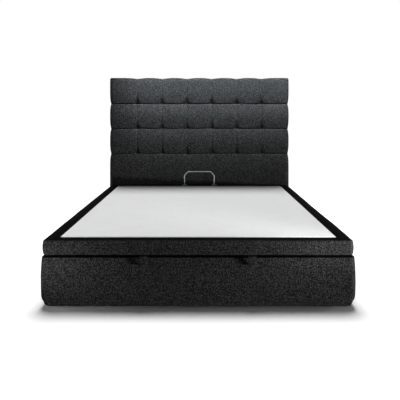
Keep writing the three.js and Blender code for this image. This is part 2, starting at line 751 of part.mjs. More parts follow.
// Straight runs between the corners, joined by bends that start the given length from each corner
function bentRoute(corners, bend) {
  const route = new THREE.CurvePath();
  let from = corners[0];
  for (let i = 1; i + 1 < corners.length; i += 1) {
    const corner = corners[i];
    const before = corner.clone().sub(corners[i - 1]).setLength(bend);
    const after = corners[i + 1].clone().sub(corner).setLength(bend);
    const start = corner.clone().sub(before);
    const end = corner.clone().add(after);
    route.add(new THREE.LineCurve3(from, start));
    route.add(new THREE.QuadraticBezierCurve3(start, corner, end));
    from = end;
  }
  route.add(new THREE.LineCurve3(from, corners[corners.length - 1]));
  return route;
}

// Pieces of the lift mechanism on the right side

// A pin or hole that widens from its neck to the sunk head's face, which holds the arm on its pin
function sunkPinOutline(from, neck, face, radius, headRadius) {
  return [
    point(0, from),
    point(radius, from),
    point(radius, neck),
    point(headRadius, face),
    point(0, face),
  ];
}

function sunkPin(root) {
  const face = LIFT_ARM_INNER_X + FIT;
  const outline = sunkPinOutline(root, face + PIVOT_HEAD_THICKNESS, face, PIVOT_RADIUS, PIVOT_HEAD_RADIUS);
  return turnedX(outline, PIN_A);
}

function sunkHole() {
  const face = LIFT_ARM_INNER_X - FIT;
  const neck = LIFT_ARM_INNER_X + PIVOT_HEAD_THICKNESS + 2 * FIT;
  const [radius, headRadius] = [PIVOT_RADIUS + FIT, PIVOT_HEAD_RADIUS + 3 * FIT];
  return turnedX(sunkPinOutline(LIFT_ARM_OUTER_X + FIT, neck, face, radius, headRadius), PIN_A);
}

function boltHead(place, face, towards) {
  const outline = headOutline(BOLT_RADIUS, face - towards * (PLATE_THICKNESS / 2), face + towards * BOLT_HEAD);
  return turnedX(outline, place, BOLT_SIDES);
}

function between(a, b, share) {
  return { y: a.y + (b.y - a.y) * share, z: a.z + (b.z - a.z) * share };
}

function centreOf(...places) {
  const sum = (key) => places.reduce((total, place) => total + place[key], 0) / places.length;
  return { y: sum("y"), z: sum("z") };
}

// The plate screwed to the side board, which carries pins A, B and E
function baseBracket() {
  const pins = [PIN_A, PIN_B, PIN_E];
  const middle = centreOf(...pins);
  const plate = linkOutline(pins.map((place) => ({ place, radius: PLATE_END_RADIUS })));
  const window = linkOutline(pins.map((pin) => (
    { place: between(middle, pin, WINDOW_REACH_SHARE), radius: WINDOW_RADIUS }
  )));
  const sheet = alongX(plate, BASE_PLATE_INNER_X, BASE_PLATE_OUTER_X, [window]);
  const root = BASE_PLATE_INNER_X + PLATE_THICKNESS / 2;
  const spacerB = pinX(PIN_B, SPACER_RADIUS, root, CONTROL_ARM_OUTER_X + FIT);
  const pinB = pinX(PIN_B, PIVOT_RADIUS, root, CONTROL_ARM_INNER_X - FIT - FIT);
  const headB = turnedX(
    headOutline(PIVOT_HEAD_RADIUS, CONTROL_ARM_INNER_X - FIT, CONTROL_ARM_INNER_X - FIT - PIVOT_HEAD_THICKNESS),
    PIN_B,
  );
  const bolts = [between(PIN_A, PIN_B, 1 / 3), between(PIN_A, PIN_B, 2 / 3), between(PIN_B, PIN_E, 1 / 2)];
  const heads = bolts.map((place) => boltHead(between(middle, place, PLATE_BOLT_REACH_SHARE), BASE_PLATE_INNER_X, -1));
  return joined(sheet, sunkPin(root), spacerB, pinB, headB, ...strutPin(PIN_E, root), ...heads);
}

// A stepped pin for a strut's eye: a wide root up to the eye, the pin and its head past the eye
function strutPin(place, root) {
  const head = [STRUT_EYE_INNER_X - FIT, STRUT_EYE_INNER_X - FIT - PIVOT_HEAD_THICKNESS];
  return [
    pinX(place, SPACER_RADIUS, root, STRUT_EYE_OUTER_X + FIT),
    pinX(place, STRUT_PIN_RADIUS, root, head[0] - FIT),
    turnedX(headOutline(STRUT_HEAD_RADIUS, ...head), place),
  ];
}

// The plate bolted to the lid's side rail, which carries pins C, D and F
function lidBracket() {
  const bolts = [-PLATE_BOLT_SPREAD, PLATE_BOLT_SPREAD].map((step) => (
    { y: PIN_C.y + step - PLATE_BOLT_SPREAD / 2, z: RAIL_BOTTOM_Z + RAIL_SIZE / 2 }
  ));
  const plate = linkOutline([
    ...[PIN_C, PIN_D, PIN_F].map((place) => ({ place, radius: LID_PLATE_END_RADIUS })),
    ...bolts.map((place) => ({ place, radius: BOLT_EDGE })),
  ]);
  const root = (LID_PLATE_INNER_X + LID_PLATE_OUTER_X) / 2;
  const pinC = pinX(PIN_C, PIVOT_RADIUS, root, LIFT_ARM_OUTER_X + FIT);
  const spacerC = pinX(PIN_C, SPACER_RADIUS, root, LIFT_ARM_INNER_X - FIT);
  const pinD = pinX(PIN_D, STRUT_PIN_RADIUS, root, CONTROL_ARM_OUTER_X);
  const rivets = [PIN_C, PIN_D].map((place) => turnedX(
    headOutline(PIVOT_HEAD_RADIUS, root, LID_PLATE_INNER_X - PIVOT_HEAD_THICKNESS / 2),
    place,
  ));
  const heads = bolts.map((place) => boltHead(place, LID_PLATE_INNER_X, -1));
  return joined(
    alongX(plate, LID_PLATE_INNER_X, LID_PLATE_OUTER_X),
    pinC,
    spacerC,
    pinD,
    ...strutPin(PIN_F, root),
    ...rivets,
    ...heads,
  );
}

function liftArm() {
  const ends = [PIN_A, PIN_C].map((place) => ({ place, radius: ARM_END_RADIUS }));
  const bar = alongX(linkOutline(ends), LIFT_ARM_INNER_X, LIFT_ARM_OUTER_X);
  const hole = pinX(PIN_C, PIVOT_RADIUS + FIT, LIFT_ARM_INNER_X - OVERRUN, LIFT_ARM_OUTER_X + OVERRUN);
  return cut(bar, sunkHole(), hole);
}

// The arm's upper eye is the linkage's open pivot: its hole leaves room round pin D
function controlArm() {
  const play = Math.hypot(CONTROL_EYE_SHIFT.y, CONTROL_EYE_SHIFT.z);
  const ends = [PIN_B, CONTROL_EYE].map((place) => ({ place, radius: ARM_END_RADIUS }));
  const bar = alongX(linkOutline(ends), CONTROL_ARM_INNER_X, CONTROL_ARM_OUTER_X);
  const [from, to] = [CONTROL_ARM_INNER_X - OVERRUN, CONTROL_ARM_OUTER_X + OVERRUN];
  return cut(
    bar,
    pinX(PIN_B, PIVOT_RADIUS + FIT, from, to),
    pinX(CONTROL_EYE, STRUT_PIN_RADIUS + play + 2 * FIT, from, to),
  );
}

// Turns a solid that stands on the origin along Z to lie from pin E towards the strut's upper eye
function alongStrut(geometry) {
  const angle = Math.atan2(STRUT_EYE.z - PIN_E.z, STRUT_EYE.y - PIN_E.y);
  return geometry.rotateX(angle - Math.PI / 2).translate(STRUT_X, PIN_E.y, PIN_E.z);
}

function strutEye(height) {
  return pinX({ y: 0, z: height }, STRUT_EYE_RADIUS, -STRUT_EYE_WIDTH / 2, STRUT_EYE_WIDTH / 2);
}

function strutEyeHole(height, radius) {
  return pinX({ y: 0, z: height }, radius, -STRUT_EYE_WIDTH, STRUT_EYE_WIDTH);
}

function strutLength() {
  return Math.hypot(STRUT_EYE.y - PIN_E.y, STRUT_EYE.z - PIN_E.z);
}

const STRUT_MOUTH = STRUT_NECK + STRUT_NUT_LENGTH + STRUT_ROD_SHOWING;

function strutCylinder() {
  const end = strutLength() - STRUT_NECK;
  const bore = STRUT_RADIUS - STRUT_WALL;
  const mouth = STRUT_ROD_RADIUS + FIT;
  const tube = turnedZ([
    point(mouth, STRUT_MOUTH),
    point(STRUT_RADIUS - STRUT_WALL, STRUT_MOUTH),
    point(STRUT_RADIUS, STRUT_MOUTH + STRUT_WALL),
    point(STRUT_RADIUS, end - STRUT_WALL),
    point(STRUT_RADIUS - STRUT_WALL, end),
    point(0, end),
    point(0, end - STRUT_END),
    point(bore, end - STRUT_END),
    point(bore, STRUT_MOUTH + STRUT_GLAND),
    point(mouth, STRUT_MOUTH + STRUT_GLAND),
    point(mouth, STRUT_MOUTH),
  ], { x: 0, y: 0 });
  const neck = turnedZ([
    point(0, end - STRUT_END / 2),
    point(STRUT_ROD_RADIUS, end - STRUT_END / 2),
    point(STRUT_ROD_RADIUS, strutLength()),
    point(0, strutLength()),
  ], { x: 0, y: 0 });
  const play = Math.hypot(STRUT_EYE_SHIFT.y, STRUT_EYE_SHIFT.z);
  const hole = strutEyeHole(strutLength(), STRUT_PIN_RADIUS + play + 2 * FIT);
  return alongStrut(cut(joined(tube, neck, strutEye(strutLength())), hole));
}

function strutRod() {
  const inner = strutLength() - STRUT_NECK - STRUT_END - STRUT_WALL;
  const piston = STRUT_RADIUS - STRUT_WALL - FIT;
  const rod = turnedZ([
    point(0, 0),
    point(STRUT_ROD_RADIUS, 0),
    point(STRUT_ROD_RADIUS, inner - STRUT_PISTON_LENGTH),
    point(piston, inner - STRUT_PISTON_LENGTH),
    point(piston, inner),
    point(0, inner),
  ], { x: 0, y: 0 });
  const nut = turnedZ([
    point(0, STRUT_NECK),
    point(STRUT_NUT_RADIUS, STRUT_NECK),
    point(STRUT_NUT_RADIUS, STRUT_NECK + STRUT_NUT_LENGTH),
    point(0, STRUT_NECK + STRUT_NUT_LENGTH),
  ], { x: 0, y: 0 }, 6);
  return alongStrut(cut(joined(rod, nut, strutEye(0)), strutEyeHole(0, STRUT_PIN_RADIUS + FIT)));
}

// Pieces of the headboard

// The grid lines across or up the pad: the rim twice, the rounding, and each tuft's own lines
function gridLines(edges, outerEnds) {
  const lines = [];
  edges.forEach((edge, i) => {
    if (i > 0) {
      const from = edges[i - 1];
      TUFT_LINE_SHARES.forEach((share) => lines.push(from + (edge - from) * share));
    }
    if (i > 0 && i + 1 < edges.length) {
      lines.push(edge);
    }
  });
  const [low, high] = outerEnds;
  const inside = lines.filter((line) => line > low + PAD_ROUNDING && line < high - PAD_ROUNDING);
  const lowRound = ROUNDING_LINE_SHARES.map((share) => low + PAD_ROUNDING * share);
  const highRound = ROUNDING_LINE_SHARES.map((share) => high - PAD_ROUNDING * share).reverse();
  return [low, ...lowRound, ...inside, ...highRound, high];
}

// How far a place lies from the middle of its tuft towards a seam, 0 to 1, raised to a power
function seamPull(value, seams, reach) {
  const nearest = Math.min(...seams.map((seam) => Math.abs(value - seam)));
  return Math.max(0, 1 - nearest / reach) ** TUFT_POWER;
}

function roundingOf(distance) {
  const share = Math.min(distance / PAD_ROUNDING, 1);
  return Math.sqrt(1 - (1 - share) ** 2);
}

function tuftSeams() {
  const columns = Array.from({ length: TUFT_COLUMNS - 1 }, (_, i) => (i + 1 - TUFT_COLUMNS / 2) * TUFT_WIDTH);
  const firstRow = HEADBOARD_TOP - TOP_TUFT_HEIGHT;
  const rows = Array.from({ length: TUFT_ROWS }, (_, i) => firstRow - i * TUFT_HEIGHT);
  return { columns, rows };
}

function padPoint(x, z, onRim, seams) {
  const half = HEADBOARD_WIDTH / 2;
  const lowestSeam = Math.min(...seams.rows);
  const rowReach = z < lowestSeam ? LOWER_CROWN_REACH : TUFT_HEIGHT / 2;
  const row = seamPull(z, seams.rows, rowReach);
  const below = Math.max(0, Math.min(1, (lowestSeam - z) / (TUFT_HEIGHT / 2)));
  const column = seamPull(x, seams.columns, TUFT_WIDTH / 2) * (1 - below);
  const drop = ROW_SEAM_DEPTH * row + COLUMN_SEAM_DEPTH * column + CROSSING_DEPTH * row * column;
  const fromRim = [half - Math.abs(x), HEADBOARD_TOP - z, z - HEADBOARD_BOTTOM];
  const rounding = fromRim.reduce((share, distance) => share * roundingOf(distance), 1);
  const thickness = PAD_EDGE + (PAD_THICKNESS - PAD_EDGE - drop) * rounding;
  const nearTop = Math.max(0, 1 - fromRim[1] / SCALLOP_REACH);
  const nearSide = Math.max(0, 1 - fromRim[0] / SCALLOP_REACH);
  return new THREE.Vector3(
    x - Math.sign(x) * SIDE_DIP * row * nearSide,
    PAD_BACK_Y - (onRim ? 0 : thickness),
    z - SCALLOP * column * nearTop,
  );
}

// The pad as one sheet of grid points over the front, closed by a flat back
function tuftedPad() {
  const half = HEADBOARD_WIDTH / 2;
  const seams = tuftSeams();
  const xs = gridLines([-half, ...seams.columns, half], [-half, half]);
  const rowsUp = [...seams.rows].reverse();
  const zs = gridLines([HEADBOARD_BOTTOM, ...rowsUp, HEADBOARD_TOP], [HEADBOARD_BOTTOM, HEADBOARD_TOP]);
  const positions = [];
  zs.forEach((z, j) => xs.forEach((x, i) => {
    const onRim = i === 0 || j === 0 || i === xs.length - 1 || j === zs.length - 1;
    positions.push(...padPoint(x, z, onRim, seams).toArray());
  }));
  const at = (i, j) => j * xs.length + i;
  const index = [];
  for (let j = 0; j + 1 < zs.length; j += 1) {
    for (let i = 0; i + 1 < xs.length; i += 1) {
      index.push(at(i, j), at(i + 1, j), at(i + 1, j + 1), at(i, j), at(i + 1, j + 1), at(i, j + 1));
    }
  }
  const [lastI, lastJ] = [xs.length - 1, zs.length - 1];
  const rim = [
    ...xs.slice(0, lastI).map((_, i) => at(i, 0)),
    ...zs.slice(0, lastJ).map((_, j) => at(lastI, j)),
    ...xs.slice(0, lastI).map((_, i) => at(lastI - i, lastJ)),
    ...zs.slice(0, lastJ).map((_, j) => at(0, lastJ - j)),
  ];
  const middle = xs.length * zs.length;
  positions.push(0, PAD_BACK_Y, (HEADBOARD_TOP + HEADBOARD_BOTTOM) / 2);
  rim.forEach((from, k) => index.push(rim[(k + 1) % rim.length], from, middle));
  const geometry = new THREE.BufferGeometry();
  geometry.setAttribute("position", new THREE.Float32BufferAttribute(positions, 3));
  geometry.setIndex(index);
  return geometry;
}

function headboardBoard() {
  const half = HEADBOARD_WIDTH / 2 - HEADBOARD_BOARD_INSET;
  return block(
    [-half, HEADBOARD_BOARD_Y, HEADBOARD_BOTTOM + HEADBOARD_BOARD_INSET],
    [half, HEADBOARD_BOARD_Y + HEADBOARD_BOARD_THICKNESS, HEADBOARD_TOP - HEADBOARD_BOARD_INSET],
  );
}

function backLining() {
  const half = HEADBOARD_WIDTH / 2 - LINING_INSET;
  return block(
    [-half, LINING_Y, HEADBOARD_BOTTOM + LINING_INSET],
    [half, LINING_Y + LINING_THICKNESS, HEADBOARD_TOP - LINING_INSET],
  );
}

function headboardLeg() {
  const [left, right] = [LEG_PLACE - LEG_WIDTH / 2, LEG_PLACE + LEG_WIDTH / 2];
  const outline = [
    point(LEG_Y, 0),
    point(LEG_BACK_Y, 0),
    point(LEG_BACK_Y, LEG_HEIGHT - LEG_CHAMFER),
    point(LEG_BACK_Y - LEG_CHAMFER, LEG_HEIGHT),
    point(LEG_Y, LEG_HEIGHT),
  ];
  return alongX(outline, left, right);
}

const BOLT_PLACES = [-LEG_PLACE, LEG_PLACE].flatMap((x) => (
  [HEADBOARD_BOLT_LOW, HEADBOARD_BOLT_HIGH].map((z) => ({ x, z }))
));

// Bolt, nut and washer as fitted, from inside the box to the back of the leg
function headboardBolt(place) {
  const nutFace = BOARD_INNER_Y - FIT - HEADBOARD_WASHER_THICKNESS;
  return joined(
    pinY(place, HEADBOARD_BOLT_RADIUS, nutFace - HEADBOARD_NUT_LENGTH - FIT, LEG_BACK_Y + HEADBOARD_BOLT_HEAD / 2),
    pinY(place, HEADBOARD_NUT_RADIUS, nutFace - HEADBOARD_NUT_LENGTH, nutFace + FIT, 6),
    pinY(place, HEADBOARD_WASHER_RADIUS, nutFace, BOARD_INNER_Y - FIT),
    turnedY(headOutline(HEADBOARD_WASHER_RADIUS, LEG_BACK_Y + FIT, LEG_BACK_Y + FIT + HEADBOARD_BOLT_HEAD), place),
  );
}

function drilled(geometry, places) {
  const radius = HEADBOARD_BOLT_RADIUS + FIT;
  const holes = places.map((place) => pinY(place, radius, 0, LEG_BACK_Y + OVERRUN));
  return cut(geometry, ...holes);
}

// The assembly

const assembly = new THREE.Group();

function place(name, geometry, material) {
  const mesh = new THREE.Mesh(welded(geometry), material);
  mesh.name = name;
  assembly.add(mesh);
}

// The piece as made for the right side, and its mirror image for the left
function placePair(name, geometry, material) {
  place(`${name}_right`, geometry, material);
  place(`${name}_left`, mirrored(geometry, "x"), material);
}

function addBase() {
  place("base_front_board", endBoard(), palette.chipboard);
  place("base_rear_board", drilled(mirrored(endBoard(), "y"), BOLT_PLACES), palette.chipboard);
  placePair("base_side_board", sideBoard(), palette.chipboard);
  place("base_front_cover", endCover(BASE_CROWN), palette.upholstery);
  place("base_rear_cover", drilled(mirrored(endCover(0), "y"), BOLT_PLACES), palette.upholstery);
  placePair("base_side_cover", sideCover(), palette.upholstery);
  placePair("corner_bracket_rear", cornerBracket(), palette.zincSteel);
  placePair("corner_bracket_front", mirrored(cornerBracket(), "y"), palette.zincSteel);
  placePair("floor_ledge", ledge(), palette.pine);
  place("floor_centre_rail", centreRail(), palette.pine);
  placePair("floor_panel", floorPanel(), palette.hardboard);
  addGlides();
}

function addGlides() {
  const x = BOARD_INNER_X + GLIDE_RADIUS;
  const y = INSIDE_HALF_LENGTH - GLIDE_FROM_END;
  placePair("glide_rear", glide({ x, y }, GLIDE_HEIGHT), palette.glide);
  placePair("glide_front", glide({ x, y: -y }, GLIDE_HEIGHT), palette.glide);
  const top = BOARD_BOTTOM_Z - FIT;
  place("glide_centre_rear", glide({ x: 0, y: CENTRE_GLIDE_PLACE }, top), palette.glide);
  place("glide_centre_front", glide({ x: 0, y: -CENTRE_GLIDE_PLACE }, top), palette.glide);
}

function addLid() {
  placePair("lid_side_rail", sideRail(), palette.blackSteel);
  place("lid_head_rail", crossRail(RAIL_OUTER_Y - RAIL_SIZE / 2), palette.blackSteel);
  place("lid_foot_rail", crossRail(-RAIL_OUTER_Y + RAIL_SIZE / 2), palette.blackSteel);
  place("lid_cross_bar_rear", crossRail(CROSS_BAR_PLACE), palette.blackSteel);
  place("lid_cross_bar_front", crossRail(-CROSS_BAR_PLACE), palette.blackSteel);
  place("lid_board", lidBoard(), palette.chipboard);
  place("lid_top_pad", topPad(), palette.knit);
  const footBand = lidBand(LID_WIDTH / 2, LID_LENGTH / 2);
  place("lid_band_front", footBand, palette.upholstery);
  place("lid_band_rear", mirrored(footBand, "y"), palette.upholstery);
  const sideBand = lidBand(LID_LENGTH / 2, LID_WIDTH / 2).rotateZ(Math.PI / 2);
  placePair("lid_band", sideBand, palette.upholstery);
  place("pull_tab_right", pullTab(TAB_PLACE), palette.upholstery);
  place("pull_tab_left", pullTab(-TAB_PLACE), palette.upholstery);
  place("mattress_retainer", mattressRetainer(), palette.greyWire);
}

function addMechanism() {
  placePair("base_bracket", baseBracket(), palette.zincSteel);
  placePair("lid_bracket", lidBracket(), palette.zincSteel);
  placePair("lift_arm", liftArm(), palette.zincSteel);
  placePair("control_arm", controlArm(), palette.zincSteel);
  placePair("gas_strut_cylinder", strutCylinder(), palette.strutBlack);
  placePair("gas_strut_rod", strutRod(), palette.polishedRod);
}

function addHeadboard() {
  place("headboard_pad", drilled(tuftedPad(), BOLT_PLACES), palette.upholstery);
  place("headboard_board", drilled(headboardBoard(), BOLT_PLACES), palette.chipboard);
  place("headboard_back_lining", drilled(backLining(), BOLT_PLACES), palette.lining);
  const rightBolts = BOLT_PLACES.filter(({ x }) => x > 0);
  placePair("headboard_leg", drilled(headboardLeg(), rightBolts), palette.pine);
  for (const [level, z] of [["low", HEADBOARD_BOLT_LOW], ["high", HEADBOARD_BOLT_HIGH]]) {
    placePair(`headboard_bolt_${level}`, headboardBolt({ x: LEG_PLACE, z }), palette.zincSteel);
  }
}

addBase();
addLid();
addMechanism();
addHeadboard();

// The middle of the whole bed, seen from above, goes on the origin
const bounds = new THREE.Box3().setFromObject(assembly);
assembly.position.set(0, -(bounds.min.y + bounds.max.y) / 2, 0);

export default assembly;
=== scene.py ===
"""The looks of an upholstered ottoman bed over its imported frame. Metres, +Z up, foot end to -Y."""

import json
import logging
import math
from dataclasses import dataclass
from enum import Enum

import bmesh
import bpy
import numpy as np
from mathutils import Matrix, Vector

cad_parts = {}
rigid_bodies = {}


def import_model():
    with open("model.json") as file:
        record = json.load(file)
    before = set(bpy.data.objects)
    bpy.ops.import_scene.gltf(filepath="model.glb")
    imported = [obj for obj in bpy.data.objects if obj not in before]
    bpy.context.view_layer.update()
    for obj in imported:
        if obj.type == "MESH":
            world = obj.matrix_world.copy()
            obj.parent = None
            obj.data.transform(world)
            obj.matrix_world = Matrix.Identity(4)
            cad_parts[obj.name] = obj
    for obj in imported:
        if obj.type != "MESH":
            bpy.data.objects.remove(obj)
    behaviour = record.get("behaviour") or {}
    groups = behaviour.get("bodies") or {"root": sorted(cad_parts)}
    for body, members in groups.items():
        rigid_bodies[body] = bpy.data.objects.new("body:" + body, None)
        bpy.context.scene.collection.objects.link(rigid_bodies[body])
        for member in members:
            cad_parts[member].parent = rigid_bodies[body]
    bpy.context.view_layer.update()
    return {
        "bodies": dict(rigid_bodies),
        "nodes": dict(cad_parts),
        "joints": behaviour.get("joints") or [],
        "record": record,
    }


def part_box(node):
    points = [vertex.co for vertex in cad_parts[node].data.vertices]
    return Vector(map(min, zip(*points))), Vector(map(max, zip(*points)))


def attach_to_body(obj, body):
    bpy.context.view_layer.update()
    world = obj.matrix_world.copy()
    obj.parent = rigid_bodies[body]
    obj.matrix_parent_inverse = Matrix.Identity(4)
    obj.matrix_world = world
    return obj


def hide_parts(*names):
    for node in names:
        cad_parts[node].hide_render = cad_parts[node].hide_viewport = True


Colour = tuple[float, float, float, float]
Point = tuple[float, float]
Socket = bpy.types.NodeSocket

log = logging.getLogger("bed")

UV_NAME = "cloth"
# the point attribute that carries painted shade on the cloth, from 0 for none to 1 for full
PAINTED_SHADE_ATTR = "pressed"
THIN = 0.0003  # the least radius of a corner, and the gap that neighbours keep
MM = 0.001
NOISE_CELLS = 97  # how many swells the random table holds before it repeats
STAPLE_LENGTH = 11.5 * MM
TINT = {"data_type": "RGBA", "blend_type": "MULTIPLY"}


def linear(shade: str | float) -> Colour:
    """Turn an sRGB colour into a linear one.

    Args:
        shade: the colour as written on a swatch, such as "#3f4446", or a linear grey.

    Returns:
        Red, green, blue and an alpha of 1.
    """
    if not isinstance(shade, str):
        return shade, shade, shade, 1.0
    shares = [int(shade[i : i + 2], 16) / 255 for i in (1, 3, 5)]
    r, g, b = [s / 12.92 if s <= 0.04045 else ((s + 0.055) / 1.055) ** 2.4 for s in shares]
    return r, g, b, 1.0


def add_node(
    tree: bpy.types.NodeTree, kind: str, inputs: dict | None = None,
    stops: tuple[tuple[float, str | float], ...] = (), **settings: object,
) -> bpy.types.bpy_prop_collection:
    """Add one node with its settings, and fill or link its inputs.

    Args:
        tree: the tree that gets the node.
        kind: the node's type name.
        inputs: socket name or number to a value, or to the socket that feeds it.
        stops: a colour ramp's places from 0 to 1 with their shades, in rising order.
        settings: properties of the node itself.

    Returns:
        The new node's output sockets.
    """
    node = tree.nodes.new(kind)
    for name, value in settings.items():
        setattr(node, name, value)
    for key, value in (inputs or {}).items():
        if isinstance(value, Socket):
            tree.links.new(value, node.inputs[key])
        else:
            node.inputs[key].default_value = value
    if stops:
        elements = node.color_ramp.elements
        while len(elements) < len(stops):
            elements.new(0.5)
        for element, (place, shade) in zip(elements, stops):
            element.position, element.color = place, linear(shade)
    return node.outputs


def new_material(
    name: str, **shader: float
) -> tuple[bpy.types.Material, bpy.types.NodeTree, bpy.types.Node]:
    """Make a node material.

    Args:
        name: the material's name.
        shader: Principled inputs by name, with underscores for spaces.

    Returns:
        The material, its tree and its Principled node.
    """
    material = bpy.data.materials.new(name)
    material.use_nodes = True
    bsdf = material.node_tree.nodes["Principled BSDF"]
    for key, value in shader.items():
        bsdf.inputs[key.replace("_", " ")].default_value = value
    return material, material.node_tree, bsdf


def surface(bsdf: bpy.types.Node, colour: Socket, *layers: tuple[Socket, float]) -> None:
    """Feed a shader its colour, and stack reliefs under its normal.

    Args:
        bsdf: the Principled node.
        colour: the colour's socket.
        layers: height sockets, each with its depth in metres, coarsest first.
    """
    tree = bsdf.id_data
    tree.links.new(colour, bsdf.inputs["Base Color"])
    below: dict = {}
    for height, depth in layers:
        inputs = {"Strength": 1.0, "Distance": depth, "Height": height, **below}
        below = {"Normal": add_node(tree, "ShaderNodeBump", inputs)[0]}
    tree.links.new(below["Normal"], bsdf.inputs["Normal"])


@dataclass(frozen=True)
class WovenUpholstery:
    """Polyester chenille in a plain weave: thick charcoal yarns with paler knots, quite matt."""

    dark: str = "#222222"
    light: str = "#404040"
    yarn: float = 2.2 * MM  # drawn a little coarser than the real 1.8, so that it shows
    slub: float = 30 * MM  # length over which a yarn changes shade
    knot: Point = (4.8 * MM, 6.4 * MM)  # width and length of a knot in a yarn
    laid: float = 0.08  # what shows of the cloth's shade where painted shade darkens it, along seams and on the lid's border

    def make(self) -> bpy.types.Material:
        """Returns: the cloth, drawn on the piece's own cloth coordinates."""
        material, tree, bsdf = new_material(
            "woven_chenille", Roughness=0.93, Specular_IOR_Level=0.01)
        place = add_node(tree, "ShaderNodeUVMap", uv_map=UV_NAME)[0]
        yarns = add_node(
            tree, "ShaderNodeVectorMath", {0: place, 3: 1 / self.yarn}, operation="SCALE")[0]
        parts = add_node(tree, "ShaderNodeSeparateXYZ", {0: yarns})
        over = add_node(tree, "ShaderNodeTexChecker", {"Vector": yarns, "Scale": 1.0})[1]
        heights, shades = {0: over}, {0: over}
        for axis in (0, 1):
            wave = add_node(
                tree, "ShaderNodeMath", {0: parts[axis], 1: math.pi}, operation="MULTIPLY")[0]
            for operation in ("SINE", "ABSOLUTE"):
                wave = add_node(tree, "ShaderNodeMath", {0: wave}, operation=operation)[0]
            heights[axis + 2] = wave
            stretch = [1 / self.slub, 1 / self.slub, 1.0]
            stretch[axis] = 1 / self.yarn
            along = add_node(
                tree, "ShaderNodeVectorMath", {0: place, 1: stretch}, operation="MULTIPLY")[0]
            shades[axis + 2] = add_node(
                tree, "ShaderNodeTexNoise",
                {"Vector": along, "Scale": 1.0, "Detail": 2.0, "Roughness": 0.6})[0]
        height, shade = [add_node(tree, "ShaderNodeMix", pair)[0] for pair in (heights, shades)]
        spots = add_node(
            tree, "ShaderNodeVectorMath", {0: place, 1: (1 / self.knot[0], 1 / self.knot[1], 1.0)},
            operation="MULTIPLY")[0]
        cells = add_node(
            tree, "ShaderNodeTexVoronoi", {"Vector": spots, "Scale": 1.0, "Randomness": 0.5})
        pick = add_node(tree, "ShaderNodeSeparateColor", {0: cells["Color"]})[0]
        mottle, fuzz = [
            add_node(tree, "ShaderNodeTexNoise",
                     {"Vector": place, "Scale": 1 / size, "Detail": detail, "Roughness": 0.7})[0]
            for size, detail in ((14 * MM, 4.0), (1.1 * MM, 3.0))
        ]
        # painted shade along the seams and on the lid's up-facing border, read from the cloth's points
        pressed = add_node(tree, "ShaderNodeAttribute", attribute_name=PAINTED_SHADE_ATTR)["Fac"]
        colour = add_node(
            tree, "ShaderNodeValToRGB", {0: shade}, ((0.36, self.dark), (0.66, self.light)))[0]
        for value, stops in (
            (cells["Distance"], ((0.0, 2.6), (0.25, 1.5), (0.5, 0.5), (0.8, 0.12))),
            (pick, ((0.0, 0.75), (1.0, 1.25))),
            (mottle, ((0.3, 0.78), (0.7, 1.18))),
            # painted shade: the cloth darkens to laid where the attribute is full
            (pressed, ((0.0, 1.0), (1.0, self.laid))),
        ):
            tone = add_node(tree, "ShaderNodeValToRGB", {0: value}, stops)[0]
            colour = add_node(tree, "ShaderNodeMix", {0: 1.0, 6: colour, 7: tone}, **TINT)[2]
        surface(bsdf, colour, (mottle, 0.6 * MM), (height, 0.35 * MM), (fuzz, 0.15 * MM))
        return material


@dataclass(frozen=True)
class CellCloth:
    """A cloth with an even pattern of small cells in a second shade, sunk below the first."""

    name: str
    shades: tuple[str, str]  # of the cloth and of its cells
    shader: tuple[tuple[str, float], ...]
    cell: float
    scatter: float  # how unevenly the cells lie
    feature: str  # what is measured: from a cell's middle or from its edge
    cells: tuple[Point, Point]  # where on that measure a cell starts and ends
    cloud: tuple[float, float, float]  # scale, detail and distortion of the cloth's clouds
    tone: tuple[Point, Point]
    depth: float
    fuzz: float  # depth of the clouds' relief, or 0 for none

    def make(self) -> bpy.types.Material:
        """Returns: the cloth, drawn on the piece's own cloth coordinates."""
        material, tree, bsdf = new_material(self.name, **dict(self.shader))
        place = add_node(tree, "ShaderNodeUVMap", uv_map=UV_NAME)[0]
        measure = add_node(
            tree, "ShaderNodeTexVoronoi",
            {"Vector": place, "Scale": 1 / self.cell, "Randomness": self.scatter},
            feature=self.feature)["Distance"]
        share = add_node(tree, "ShaderNodeValToRGB", {0: measure}, self.cells)[0]
        scale, detail, distortion = self.cloud
        clouds = add_node(
            tree, "ShaderNodeTexNoise",
            {"Vector": place, "Scale": scale, "Detail": detail, "Distortion": distortion})[0]
        tone = add_node(tree, "ShaderNodeValToRGB", {0: clouds}, self.tone)[0]
        ground, spot = map(linear, self.shades)
        colour = add_node(tree, "ShaderNodeMix", {0: share, 6: ground, 7: spot}, data_type="RGBA")[2]
        colour = add_node(tree, "ShaderNodeMix", {0: 1.0, 6: colour, 7: tone}, **TINT)[2]
        raised = add_node(tree, "ShaderNodeMath", {0: 1.0, 1: share}, operation="SUBTRACT")[0]
        fuzz = [(clouds, self.fuzz)] if self.fuzz else []
        surface(bsdf, colour, (raised, self.depth), *fuzz)
        return material


@dataclass(frozen=True)
class SpacerKnit(CellCloth):
    """Polyester spacer knit: off-white, with rows of small open cells, soft and matt."""

    name: str = "spacer_knit"
    # the cells' darker grey is painted shade in the sunk open cells
    shades: tuple[str, str] = ("#f2f2f2", "#d6d7d8")
    shader: tuple[tuple[str, float], ...] = (("Roughness", 0.9), ("Specular_IOR_Level", 0.3))
    cell: float = 4.2 * MM
    scatter: float = 0.28
    feature: str = "DISTANCE_TO_EDGE"
    cells: tuple[Point, Point] = ((0.08, 0.0), (0.34, 1.0))
    cloud: tuple[float, float, float] = (9.0, 3.0, 0.0)
    tone: tuple[Point, Point] = ((0.3, 0.98), (0.7, 1.01))
    depth: float = 0.5 * MM
    fuzz: float = 0.0


